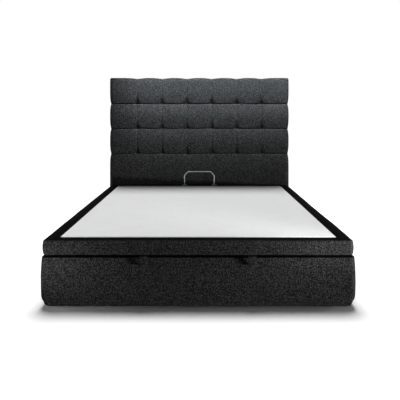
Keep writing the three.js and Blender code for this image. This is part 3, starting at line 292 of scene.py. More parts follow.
@dataclass(frozen=True)
class NonWovenLining(CellCloth):
    """Spunbonded polypropylene: thin black cloth with a grid of heat-bonded dots."""

    name: str = "spunbond_lining"
    shades: tuple[str, str] = ("#222326", "#121315")
    shader: tuple[tuple[str, float], ...] = (("Roughness", 0.88), ("Sheen_Weight", 0.1))
    cell: float = 2.4 * MM
    scatter: float = 0.0
    feature: str = "F1"
    cells: tuple[Point, Point] = ((0.2, 1.0), (0.34, 0.0))
    cloud: tuple[float, float, float] = (1 / (4 * MM), 6.0, 2.0)
    tone: tuple[Point, Point] = ((0.3, 0.75), (0.7, 1.35))
    depth: float = 0.2 * MM
    fuzz: float = 0.15 * MM


@dataclass(frozen=True)
class ParticleBoard:
    """Raw chipboard: pressed wood flakes from pale tan to brown, dusty and matt."""

    shades: tuple[str, ...] = ("#91765a", "#bfa380", "#dccbab")
    flake: float = 5 * MM

    def make(self) -> bpy.types.Material:
        """Returns: the board, the same through its thickness."""
        material, tree, bsdf = new_material("raw_particle_board", Roughness=0.86)
        place = add_node(tree, "ShaderNodeTexCoord")["Object"]
        lying = add_node(
            tree, "ShaderNodeVectorMath", {0: place, 1: (1.0, 1.0, 1.8)}, operation="MULTIPLY")[0]
        flakes = add_node(tree, "ShaderNodeTexVoronoi", {"Vector": lying, "Scale": 1 / self.flake})
        fines = add_node(
            tree, "ShaderNodeTexNoise",
            {"Vector": place, "Scale": 1 / (2 * MM), "Detail": 4.0, "Roughness": 0.7})[0]
        pick = add_node(tree, "ShaderNodeSeparateColor", {0: flakes["Color"]})[0]
        pick = add_node(tree, "ShaderNodeMix", {0: 0.45, 2: pick, 3: fines})[0]
        stops = tuple(zip((0.15, 0.5, 0.8), self.shades))
        colour = add_node(tree, "ShaderNodeValToRGB", {0: pick}, stops)[0]
        surface(bsdf, colour, (flakes["Distance"], 0.2 * MM), (fines, 0.15 * MM))
        return material


@dataclass(frozen=True)
class SolidFinish:
    """A finish drawn through the solid: two shades in a coarse pattern over a fine relief."""

    name: str
    shades: tuple[str, str]
    roughness: float
    places: Point  # where on the coarse pattern's scale each shade lies
    coarse: tuple[float, float, float]  # size, detail and roughness of the coarse pattern
    fine: tuple[float, float, float, float]  # size, detail, roughness and distortion of the fine
    depth: float  # of the fine relief
    share: float = 0.0  # how much the fine pattern shows in the shades
    stretch: tuple[float, float, float] = (1.0, 1.0, 1.0)
    gloss: Point | None = None  # roughness where the coarse pattern is least, and most
    shader: tuple[tuple[str, float], ...] = ()

    def pattern(self, tree: bpy.types.NodeTree, place: Socket) -> Socket:
        """Returns: the coarse pattern, as clouds."""
        size, detail, roughness = self.coarse
        return add_node(
            tree, "ShaderNodeTexNoise",
            {"Vector": place, "Scale": 1 / size, "Detail": detail, "Roughness": roughness})[0]

    def make(self) -> bpy.types.Material:
        """Returns: the finish, drawn on the piece's place in the bed."""
        material, tree, bsdf = new_material(
            self.name, Roughness=self.roughness, **dict(self.shader))
        place = add_node(tree, "ShaderNodeTexCoord")["Object"]
        lie = add_node(
            tree, "ShaderNodeVectorMath", {0: place, 1: self.stretch}, operation="MULTIPLY")[0]
        coarse = self.pattern(tree, lie)
        size, detail, roughness, distortion = self.fine
        fine = add_node(
            tree, "ShaderNodeTexNoise",
            {"Vector": lie, "Scale": 1 / size, "Detail": detail, "Roughness": roughness,
             "Distortion": distortion})[0]
        both = add_node(tree, "ShaderNodeMix", {0: self.share, 2: coarse, 3: fine})[0]
        stops = tuple(zip(self.places, self.shades))
        colour = add_node(tree, "ShaderNodeValToRGB", {0: both}, stops)[0]
        if self.gloss:
            matt = add_node(
                tree, "ShaderNodeMapRange",
                {0: coarse, 1: 0.3, 2: 0.7, 3: self.gloss[0], 4: self.gloss[1]})[0]
            tree.links.new(matt, bsdf.inputs["Roughness"])
        surface(bsdf, colour, (fine, self.depth))
        return material


@dataclass(frozen=True)
class Hardboard(SolidFinish):
    """Wet-pressed hardboard: brown fibre sheet, smooth with a faint cloudy felt."""

    name: str = "pressed_hardboard"
    shades: tuple[str, str] = ("#7a644e", "#a68b6d")
    roughness: float = 0.55
    places: Point = (0.35, 0.65)
    coarse: tuple[float, float, float] = (60 * MM, 8.0, 0.65)
    fine: tuple[float, float, float, float] = (1.5 * MM, 3.0, 0.5, 1.5)
    depth: float = 0.08 * MM
    share: float = 0.4


class Grain(Enum):
    """The way the wood's grain runs."""

    ALONG_BED = (1.0, 0.045, 1.0)
    UPRIGHT = (1.0, 1.0, 0.045)


@dataclass(frozen=True)
class PlanedPine(SolidFinish):
    """Planed softwood: pale sapwood with darker year lines along the piece, left unvarnished."""

    name: str = "planed_pine"
    shades: tuple[str, str] = ("#e2caa2", "#c49d6a")
    roughness: float = 0.62
    places: Point = (0.25, 0.8)
    coarse: tuple[float, float, float] = (4.5 * MM, 3.0, 5.0)  # rings: size, detail, distortion
    fine: tuple[float, float, float, float] = (1.4 * MM, 5.0, 0.7, 0.0)
    depth: float = 0.12 * MM
    share: float = 0.35

    def pattern(self, tree: bpy.types.NodeTree, place: Socket) -> Socket:
        """Returns: the coarse pattern, as year rings."""
        size, detail, distortion = self.coarse
        return add_node(
            tree, "ShaderNodeTexWave",
            {"Vector": place, "Scale": 0.05 / size, "Distortion": distortion, "Detail": detail,
             "Detail Scale": 6.0},
            wave_type="RINGS", rings_direction="SPHERICAL")[1]


@dataclass(frozen=True)
class PaintedSteel(SolidFinish):
    """Steel under powder paint: an even colour with a fine orange-peel skin and rubbed patches."""

    places: Point = (0.4, 0.75)
    coarse: tuple[float, float, float] = (35 * MM, 6.0, 0.6)
    fine: tuple[float, float, float, float] = (0.9 * MM, 2.0, 0.5, 0.0)
    depth: float = 0.05 * MM
    shader: tuple[tuple[str, float], ...] = (("Coat_Weight", 0.15),)


@dataclass(frozen=True)
class PlatedSteel(SolidFinish):
    """Plated steel: zinc with a cloudy crystalline sheen, or hard chrome ground along the rod."""

    places: Point = (0.35, 0.6)
    coarse: tuple[float, float, float] = (9 * MM, 5.0, 0.6)
    fine: tuple[float, float, float, float] = (0.8 * MM, 2.0, 0.5, 0.0)
    depth: float = 0.02 * MM
    shader: tuple[tuple[str, float], ...] = (("Metallic", 1.0),)


@dataclass(frozen=True)
class MouldedPlastic(SolidFinish):
    """Injection-moulded polypropylene: dark, with a fine spark-eroded texture and scuffs."""

    name: str = "moulded_polypropylene"
    shades: tuple[str, str] = ("#1c1d1f", "#3a3b3d")
    roughness: float = 0.55
    places: Point = (0.55, 0.8)
    coarse: tuple[float, float, float] = (5 * MM, 6.0, 0.75)
    fine: tuple[float, float, float, float] = (0.5 * MM, 1.0, 0.5, 0.0)
    depth: float = 0.05 * MM


@dataclass(frozen=True)
class SewingThread:
    """Bonded polyester thread: three twisted plies with a low sheen."""

    colour: str = "#34383a"
    shadow: str = "#1b1d1e"

    def make(self) -> bpy.types.Material:
        """Returns: the thread."""
        material, tree, bsdf = new_material("bonded_thread", Roughness=0.6, Sheen_Weight=0.1)
        place = add_node(tree, "ShaderNodeTexCoord")["Object"]
        twist = add_node(
            tree, "ShaderNodeTexWave", {"Vector": place, "Scale": 120.0, "Distortion": 1.0},
            bands_direction="DIAGONAL")[1]
        stops = ((0.2, self.shadow), (0.7, self.colour))
        colour = add_node(tree, "ShaderNodeValToRGB", {0: twist}, stops)[0]
        surface(bsdf, colour, (twist, 0.1 * MM))
        return material


@dataclass
class Finishes:
    """Every finish of the bed, made once."""

    def __post_init__(self) -> None:
        """Make the materials."""
        self.upholstery = WovenUpholstery().make()
        self.knit = SpacerKnit().make()
        self.particle_board = ParticleBoard().make()
        self.hardboard = Hardboard().make()
        self.pine_rail, self.pine_leg = [
            PlanedPine(f"planed_pine_{grain.name.lower()}", stretch=grain.value).make()
            for grain in Grain
        ]
        self.frame_steel, self.strut_enamel, self.wire = [
            PaintedSteel(name, shades, rough, gloss=(rough + 0.08, rough - 0.08)).make()
            for name, shades, rough in (
                ("black_powder_coat", ("#17181a", "#242628"), 0.48),
                ("black_stove_enamel", ("#0f1011", "#1b1c1e"), 0.28),
                ("grey_powder_coat", ("#85898b", "#9ca0a2"), 0.38),
            )
        ]
        self.zinc, self.chrome = [
            PlatedSteel(name, shades, rough, gloss=(rough * 1.4, rough * 0.8), stretch=way).make()
            for name, shades, rough, way in (
                ("bright_zinc_plate", ("#8f9496", "#b4b8ba"), 0.32, (1.0, 1.0, 1.0)),
                ("hard_chrome", ("#c6c9cb", "#d8dadc"), 0.1, (1.0, 1.0, 0.1)),
            )
        ]
        self.plastic = MouldedPlastic().make()
        self.lining = NonWovenLining().make()
        self.thread = SewingThread().make()


def mesh_piece(
    name: str, points: np.ndarray, faces: list[tuple[int, ...]], cloth: np.ndarray | None,
    material: bpy.types.Material,
) -> bpy.types.Object:
    """Make a smooth closed piece with its faces outwards.

    Args:
        name: the piece's name.
        points: its points, one row each.
        faces: its faces, as point numbers.
        cloth: cloth coordinates in metres for each point, or None.
        material: its finish.

    Returns:
        The piece, at the origin with its place in its mesh.
    """
    mesh = bpy.data.meshes.new(name)
    mesh.from_pydata([tuple(p) for p in points], [], faces)
    if cloth is not None:
        layer = mesh.uv_layers.new(name=UV_NAME)
        corners = np.zeros(len(mesh.loops), np.int32)
        mesh.loops.foreach_get("vertex_index", corners)
        layer.data.foreach_set("uv", cloth[corners].astype(np.float32).ravel())
    shape = bmesh.new()
    shape.from_mesh(mesh)
    bmesh.ops.recalc_face_normals(shape, faces=shape.faces)
    shape.to_mesh(mesh)
    shape.free()
    mesh.polygons.foreach_set("use_smooth", [True] * len(mesh.polygons))
    mesh.materials.append(material)
    return placed(name, mesh)


def placed(name: str, data: bpy.types.ID) -> bpy.types.Object:
    """Returns: a new object of that data, in the scene."""
    thing = bpy.data.objects.new(name, data)
    bpy.context.scene.collection.objects.link(thing)
    return thing


def smooth_noise(u: np.ndarray, v: np.ndarray, cell: float, seed: int) -> np.ndarray:
    """Smooth random values over a surface.

    Args:
        u: the first coordinate, in metres.
        v: the second coordinate, in metres.
        cell: the size of a swell.
        seed: picks the pattern.

    Returns:
        Values from -1 to 1.
    """
    table = np.random.default_rng(seed).uniform(-1, 1, (NOISE_CELLS, NOISE_CELLS))
    a, b = np.broadcast_arrays(np.asarray(u) / cell, np.asarray(v) / cell)
    i, j = np.floor(a).astype(int), np.floor(b).astype(int)
    s, t = a - i, b - j
    s, t = s * s * (3 - 2 * s), t * t * (3 - 2 * t)
    rows = []
    for dj in (0, 1):
        first, second = (table[(i + di) % NOISE_CELLS, (j + dj) % NOISE_CELLS] for di in (0, 1))
        rows.append(first * (1 - s) + second * s)
    return rows[0] * (1 - t) + rows[1] * t


def grid_faces(rows: int, columns: int, ring: bool = False) -> list[tuple[int, ...]]:
    """Faces of a grid of points.

    Args:
        rows: how many rows of points.
        columns: how many points a row has.
        ring: whether each row closes on itself.

    Returns:
        Four-sided faces.
    """
    last = columns if ring else columns - 1
    return [
        (i * columns + j, i * columns + (j + 1) % columns,
         (i + 1) * columns + (j + 1) % columns, (i + 1) * columns + j)
        for i in range(rows - 1) for j in range(last)
    ]


def rim_of(rows: int, columns: int) -> list[int]:
    """Point numbers round the rim of a grid, in order."""
    first = list(range(columns))
    right = [i * columns + columns - 1 for i in range(1, rows)]
    last = [(rows - 1) * columns + j for j in range(columns - 2, -1, -1)]
    left = [i * columns for i in range(rows - 2, 0, -1)]
    return first + right + last + left


def closed_pad(
    name: str, face: np.ndarray, cloth: np.ndarray, loops: list[np.ndarray],
    material: bpy.types.Material,
) -> bpy.types.Object:
    """Make a pad from its face and the loops that turn round behind it.

    Args:
        name: the piece's name.
        face: a grid of points, rows by columns by 3.
        cloth: the face's cloth coordinates, rows by columns by 2.
        loops: loops of points that follow the face's rim, outermost first; the last is filled.
        material: the finish.

    Returns:
        The closed piece.
    """
    rows, columns = face.shape[:2]
    before_ids = rim_of(rows, columns)
    points, coords = [face.reshape(-1, 3)], [cloth.reshape(-1, 2)]
    faces = grid_faces(rows, columns)
    edge_cloth = coords[0][before_ids]
    outward = edge_cloth - edge_cloth.mean(0)
    most = np.abs(outward).max(0)
    outward = np.sign(np.round(outward / most, 3)) * (np.abs(outward) >= most * 0.999)
    before = points[0][before_ids]
    count = len(before_ids)
    for loop in loops:
        edge_cloth = edge_cloth + outward * np.linalg.norm(loop - before, axis=1, keepdims=True)
        start = sum(len(p) for p in points)
        ids = list(range(start, start + count))
        faces += [
            (before_ids[k], before_ids[(k + 1) % count], ids[(k + 1) % count], ids[k])
            for k in range(count)
        ]
        points.append(loop)
        coords.append(edge_cloth)
        before_ids, before = ids, loop
    faces.append(tuple(before_ids))
    return mesh_piece(name, np.vstack(points), faces, np.vstack(coords), material)


def lofted(
    name: str, rings: np.ndarray, cloth: np.ndarray | None, material: bpy.types.Material
) -> bpy.types.Object:
    """Skin a row of rings, and close it at both ends.

    Args:
        name: the piece's name.
        rings: points, rings by points round by 3.
        cloth: cloth coordinates, rings by points round by 2, or None.
        material: the finish.

    Returns:
        The closed piece.
    """
    rows, columns = rings.shape[:2]
    faces = grid_faces(rows, columns, ring=True)
    faces += [tuple(range(columns)), tuple((rows - 1) * columns + j for j in range(columns))]
    flat = None if cloth is None else cloth.reshape(-1, 2)
    return mesh_piece(name, rings.reshape(-1, 3), faces, flat, material)


def line(a: Point, b: Point, step: float) -> list[Point]:
    """Points from a towards b, without b, about one step apart."""
    count = max(1, round(math.dist(a, b) / step))
    return [tuple(np.array(a) + (np.array(b) - np.array(a)) * i / count) for i in range(count)]


def arc(centre: Point, radius: float, start: float, end: float, steps: int) -> list[Point]:
    """Points round an arc, without its last. Angles in degrees."""
    angles = [math.radians(start + (end - start) * i / steps) for i in range(steps)]
    return [(centre[0] + radius * math.cos(a), centre[1] + radius * math.sin(a)) for a in angles]


def crowned(crown: float, high: float, low: float, step: float) -> list[Point]:
    """Points down a face that stands out by crown at its middle, without the last."""
    count = max(2, round((high - low) / step))
    shares = [2 * i / count - 1 for i in range(count)]
    return [(crown * s * s, high + (low - high) * (s + 1) / 2) for s in shares]


def run_lengths(points: np.ndarray) -> np.ndarray:
    """The distance of each point of a line from its start."""
    steps = np.linalg.norm(np.diff(points, axis=0), axis=1)
    return np.concatenate([[0], np.cumsum(steps)])


def from_nearest(values: np.ndarray, lines: np.ndarray) -> tuple[np.ndarray, np.ndarray]:
    """Measure places against the lines next to them.

    Args:
        values: the places.
        lines: where the lines lie.

    Returns:
        How far each place lies past its nearest line, and that line's number.
    """
    apart = values[..., None] - lines
    nearest = np.argmin(np.abs(apart), axis=-1)
    return np.take_along_axis(apart, nearest[..., None], axis=-1)[..., 0], nearest


def corner_pull(a: np.ndarray, b: np.ndarray) -> tuple[np.ndarray, np.ndarray]:
    """Find the moves that turn a square corner round.

    Args:
        a: how far each point lies past the corner's centre, one way.
        b: the same, the other way.

    Returns:
        How far to move each point back, both ways.
    """
    inside = (a > 0) & (b > 0)
    a, b = np.where(inside, a, 0), np.where(inside, b, 0)
    keep = np.where(inside, np.maximum(a, b) / np.maximum(np.hypot(a, b), 1e-9), 1)
    return a * (1 - keep), b * (1 - keep)


def round_corners(
    x: np.ndarray, y: np.ndarray, least: Point, most: Point, radius: float
) -> tuple[np.ndarray, np.ndarray]:
    """Pull a rectangle's corners in to a radius.

    Args:
        x: first coordinates.
        y: second coordinates.
        least: the rectangle's least x and y.
        most: its greatest x and y.
        radius: the corners' radius.

    Returns:
        The moved coordinates.
    """
    middle_x, middle_y = (least[0] + most[0]) / 2, (least[1] + most[1]) / 2
    back_x, back_y = corner_pull(
        np.abs(x - middle_x) - ((most[0] - least[0]) / 2 - radius),
        np.abs(y - middle_y) - ((most[1] - least[1]) / 2 - radius),
    )
    return x - np.sign(x - middle_x) * back_x, y - np.sign(y - middle_y) * back_y


def edged_lines(low: float, high: float, edge: float, step: float) -> np.ndarray:
    """Grid lines that crowd together over an edge's rounding.

    Args:
        low: the first line.
        high: the last line.
        edge: how wide the rounding is.
        step: the spacing between the edges.

    Returns:
        The lines in rising order.
    """
    rounding = edge * (1 - np.cos(np.linspace(0, math.pi / 2, 7)))[:-1]
    count = max(2, round((high - low - 2 * edge) / step))
    return np.concatenate([
        low + rounding, np.linspace(low + edge, high - edge, count + 1), high - rounding[::-1]])


@dataclass(frozen=True)
class Section:
    """A closed outline across a padded edge, as inward distance and height."""

    outer: list[Point]  # the part that shows, where the cloth can move
    inner: list[Point]  # the part that lies on the frame
    pressed: np.ndarray  # how much painted shade each point gets, from 0 to 1

    @property
    def points(self) -> np.ndarray:
        """The whole outline."""
        return np.array(self.outer + self.inner)

    @property
    def looseness(self) -> np.ndarray:
        """How freely each point's cloth moves, from 0 to 1."""
        run = np.linspace(0, 1, len(self.outer))
        loose = np.clip(np.minimum(run, 1 - run) / 0.08, 0, 1)
        return np.concatenate([loose, np.zeros(len(self.inner))])


class Facing(Enum):
    """The side of the bed that a padded edge runs along, as quarter turns from the foot end."""

    FOOT = 0
    RIGHT = 1
    HEAD = 2
    LEFT = 3


@dataclass(frozen=True)
class Drape:
    """How the cloth lies on a padded edge: slow swells, gathers near its seams and end seams."""

    swell: float = 0.9 * MM
    gather: float = 0.8 * MM
    gather_length: float = 26 * MM
    end_dip: float = 2.2 * MM
    end_reach: float = 7 * MM
    seam_reach: float = 35 * MM  # how far the gathers run from a seam
    seed: int = 1


@dataclass(frozen=True)
class PaddedRun:
    """A padded edge of one section, along one side of a rounded rectangle."""

    middle: Point
    half_length: float
    half_across: float
    corner: float
    turn: float  # degrees that it goes round each corner
    tail: float  # inward distance of its ends, past the corners; 0 for none
    facing: Facing
    step: float = 9 * MM

    def stations(self) -> list[tuple[float, float, float, float]]:
        """Returns: straight share, side, angle and tail share of each cross-section."""
        count = max(2, round(2 * self.half_length / self.step))
        found = [(2 * i / count - 1, 0.0, 0.0, 0.0) for i in range(count + 1)]
        if not self.turn:
            return found
        bends = max(3, round(self.turn / 9))
        right = [(1.0, 1.0, self.turn * (i + 1) / bends, 0.0) for i in range(bends)]
        if self.tail:
            right += [(1.0, 1.0, self.turn, (i + 1) / 4) for i in range(4)]
        left = [(-1.0, -1.0, angle, back) for _, _, angle, back in reversed(right)]
        return left + found + right

    def grid(self, section: Section) -> np.ndarray:
        """Place the section at every station.

        Args:
            section: the outline across the edge.

        Returns:
            Points, stations by outline points by 3.
        """
        inward, height = section.points.T
        mitred = self.turn > 0
        radius = np.maximum(self.corner - inward, THIN) if mitred else np.zeros_like(inward)
        if mitred:
            radius[len(section.outer) :] = THIN
        reach = self.half_length - (inward + radius if mitred else 0)
        rows = []
        for share, side, angle, back in self.stations():
            a = math.radians(angle)
            x = share * reach + side * radius * math.sin(a)
            y = -self.half_across + inward + radius * (1 - math.cos(a))
            y = y + back * (-self.half_across + self.tail - y)
            rows.append(np.stack([x, y, height], axis=1))
        points = np.array(rows)
        for _ in range(self.facing.value):
            points = np.stack([-points[..., 1], points[..., 0], points[..., 2]], axis=2)
        return points + np.array([*self.middle, 0])

    def cloth(self, points: np.ndarray, section: Section) -> tuple[np.ndarray, np.ndarray]:
        """Returns: each point's way along the edge, and its way round the section."""
        along = run_lengths(points[:, int(np.argmin(section.points[:, 0]))])
        return np.meshgrid(along, run_lengths(section.points), indexing="ij")

    def draped(self, section: Section, drape: Drape) -> np.ndarray:
        """Let the cloth settle on the grid.

        Args:
            section: the outline across the edge.
            drape: how the cloth lies.

        Returns:
            The moved grid.
        """
        points = self.grid(section)
        round_it = np.roll(points, -1, axis=1) - np.roll(points, 1, axis=1)
        outward = np.cross(np.gradient(points, axis=0), round_it)
        outward /= np.maximum(np.linalg.norm(outward, axis=2, keepdims=True), 1e-12)
        anchor = int(np.argmin(section.points[:, 0]))
        inwards = Matrix.Rotation(math.pi / 2 * self.facing.value, 3, "Z") @ Vector((0, 1, 0))
        if outward[len(points) // 2, anchor] @ np.array(inwards) > 0:
            outward = -outward
        u, v = self.cloth(points, section)
        loose = section.looseness[None, :]
        shown = v[0, len(section.outer) - 1]
        from_edge = np.minimum(v, np.maximum(shown - v, 0))
        swell = drape.swell * smooth_noise(u, v, 0.16, drape.seed)
        swell += drape.swell * 0.5 * smooth_noise(u, v, 0.055, drape.seed + 1)
        near_seam = np.exp(-((from_edge / drape.seam_reach) ** 2))
        gather = drape.gather * near_seam * smooth_noise(
            u, v * 0.3, drape.gather_length, drape.seed + 2)
        from_end = np.minimum(u, u[-1, 0] - u)
        dip = drape.end_dip * np.exp(-((from_end / drape.end_reach) ** 2))
        move = loose * (swell + gather) - dip * (loose > 0)
        return points + outward * move[..., None]

    def skin(
        self, name: str, points: np.ndarray, section: Section, material: bpy.types.Material
    ) -> bpy.types.Object:
        """Close a grid of cross-sections into a piece.

        Args:
            name: the piece's name.
            points: the grid.
            section: its outline.
            material: its finish.

        Returns:
            The piece.
        """
        piece = lofted(name, points, np.stack(self.cloth(points, section), axis=2), material)
        # painted shade from the section, written onto every point of the piece
        layer = piece.data.attributes.new(PAINTED_SHADE_ATTR, "FLOAT", "POINT")
        pressed = np.tile(section.pressed, len(points))
        layer.data.foreach_set("value", pressed.astype(np.float32))
        return piece


def tube(
    name: str, route: np.ndarray, radius: float, material: bpy.types.Material, sides: int = 20
) -> bpy.types.Object:
    """Make a round rod that lies in a plane across the bed.

    Args:
        name: the piece's name.
        route: points along its middle, all at one y.
        radius: the rod's radius.
        material: its finish.
        sides: points round the rod.

    Returns:
        The closed rod.
    """
    along = np.gradient(route, axis=0)
    along /= np.linalg.norm(along, axis=1, keepdims=True)
    across = np.array([0.0, 1.0, 0.0])
    up = np.cross(along, across)
    angles = np.linspace(0, 2 * math.pi, sides, endpoint=False)
    rings = [
        place + radius * (np.outer(np.cos(angles), across) + np.outer(np.sin(angles), above))
        for place, above in zip(route, up)
    ]
    return lofted(name, np.array(rings), None, material)


def joined(name: str, pieces: list[bpy.types.Object]) -> bpy.types.Object:
    """Join pieces of one finish or several into one.

    Args:
        name: the name of the whole.
        pieces: the pieces, which are used up.

    Returns:
        The joined piece.
    """
    with bpy.context.temp_override(
        active_object=pieces[0], selected_editable_objects=pieces, selected_objects=pieces
    ):
        bpy.ops.object.join()
    pieces[0].name = pieces[0].data.name = name
    return pieces[0]


class Fastening(Enum):
    """What is repeated along a path, with the node that makes it and that node's inputs."""

    STITCH = ("GeometryNodeMeshUVSphere", {"Segments": 6, "Rings": 5, "Radius": 0.5})
    STAPLE = ("GeometryNodeMeshCylinder", {"Vertices": 8, "Radius": 0.5, "Depth": 1.0})


@dataclass(frozen=True)
class FasteningRow:
    """A row of stitches or staples, laid along a path by Geometry Nodes."""

    kind: Fastening
    spacing: float
    length: float
    thickness: float
    lean: float  # how far each may lie askew, in radians
    material: bpy.types.Material

    def tree(self, sizes: dict[str, float | Vector]) -> bpy.types.NodeTree:
        """Build the node tree.

        Args:
            sizes: its inputs by name, besides the path.

        Returns:
            A tree with the sizes as named inputs.
        """
        tree = bpy.data.node_groups.new(f"{self.kind.name.lower()}_row", "GeometryNodeTree")
        made = tree.interface.new_socket
        made("Geometry", in_out="INPUT", socket_type="NodeSocketGeometry")
        for name, value in sizes.items():
            kind = "NodeSocketVector" if isinstance(value, Vector) else "NodeSocketFloat"
            made(name, in_out="INPUT", socket_type=kind).default_value = value
        made("Geometry", in_out="OUTPUT", socket_type="NodeSocketGeometry")
        given = add_node(tree, "NodeGroupInput")
        path = add_node(tree, "GeometryNodeMeshToCurve", {"Mesh": given["Geometry"]})[0]
        spots = add_node(
            tree, "GeometryNodeResampleCurve", {"Curve": path, "Length": given["Spacing"]},
            mode="LENGTH")[0]
        tangent = add_node(tree, "GeometryNodeInputTangent")[0]
        level = add_node(
            tree, "FunctionNodeAlignRotationToVector", {"Vector": tangent}, axis="X")[0]
        flat = add_node(
            tree, "FunctionNodeAlignRotationToVector",
            {"Rotation": level, "Vector": given["Facing"]}, axis="Z", pivot_axis="X")[0]
        least = add_node(
            tree, "ShaderNodeMath", {0: given["Lean"], 1: -1.0}, operation="MULTIPLY")[0]
        askew = add_node(
            tree, "FunctionNodeRandomValue", {2: least, 3: given["Lean"], "Seed": 11},
            data_type="FLOAT")[1]
        askew = add_node(tree, "ShaderNodeCombineXYZ", {"Z": askew})[0]
        turn = add_node(tree, "FunctionNodeEulerToRotation", {0: askew})[0]
        lie = add_node(
            tree, "FunctionNodeRotateRotation", {"Rotation": flat, "Rotate By": turn},
            rotation_space="LOCAL")[0]
        thick = given["Thickness"]
        size = add_node(
            tree, "ShaderNodeCombineXYZ", {"X": given["Length"], "Y": thick, "Z": thick})[0]
        node, inputs = self.kind.value
        shape = add_node(tree, node, inputs)["Mesh"]
        for change in ({"Rotation": (0, math.pi / 2, 0)}, {"Scale": size}):
            shape = add_node(tree, "GeometryNodeTransform", {"Geometry": shape, **change})[0]
        row = add_node(
            tree, "GeometryNodeInstanceOnPoints",
            {"Points": spots, "Instance": shape, "Rotation": lie})[0]
        row = add_node(tree, "GeometryNodeRealizeInstances", {"Geometry": row})[0]
        row = add_node(
            tree, "GeometryNodeSetMaterial", {"Geometry": row, "Material": self.material})[0]
        add_node(tree, "NodeGroupOutput", {"Geometry": row})
        return tree

    def lay(
        self, name: str, paths: list[list[tuple[float, float, float]]], facing: tuple
    ) -> bpy.types.Object:
        """Lay the row along paths.

        Args:
            name: the piece's name.
            paths: lines of points on the surface.
            facing: the way the surface faces.

        Returns:
            The row as a plain mesh.
        """
        edges, start = [], 0
        for path in paths:
            edges += [(start + i, start + i + 1) for i in range(len(path) - 1)]
            start += len(path)
        mesh = bpy.data.meshes.new(f"{name}_path")
        mesh.from_pydata([p for path in paths for p in path], edges, [])
        holder = placed(f"{name}_path", mesh)
        sizes = {
            "Spacing": self.spacing, "Length": self.length, "Thickness": self.thickness,
            "Lean": self.lean, "Facing": Vector(facing),
        }
        modifier = holder.modifiers.new("row", "NODES")
        modifier.node_group = self.tree(sizes)
        for item in modifier.node_group.interface.items_tree:
            if item.item_type == "SOCKET" and item.in_out == "INPUT" and item.name in sizes:
                modifier[item.identifier] = sizes[item.name]
        bpy.context.view_layer.update()
        seen = holder.evaluated_get(bpy.context.evaluated_depsgraph_get())
        piece = placed(name, bpy.data.meshes.new_from_object(seen))
        piece.data.name = name
        piece.data.polygons.foreach_set("use_smooth", [True] * len(piece.data.polygons))
        bpy.data.objects.remove(holder)
        return piece


def both(*names: str) -> list[str]:
    """Returns: the names of the left and right nodes."""
    return [f"{name}_{side}" for name in names for side in ("left", "right")]


def dress(frame: dict, material: bpy.types.Material, *nodes: str) -> None:
    """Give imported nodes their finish.

    Args:
        material: the finish.
        nodes: the nodes' names.
    """
    for name in nodes:
        for slot in frame["nodes"][name].material_slots:
            slot.material = material
        log.info("%s keeps its packed shape, in %s", name, material.name)


def attach(
    piece: bpy.types.Object, body: str, replaces: tuple[str, ...] = (),
) -> None:
    """Fix a finished piece to its body and report it.

    Args:
        piece: the finished piece.
        body: the body that carries it.
        replaces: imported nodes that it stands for.
    """
    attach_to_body(piece, body)
    if replaces:
        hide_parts(*replaces)
    log.info("%s rides on %s, %d faces", piece.name, body, len(piece.data.polygons))


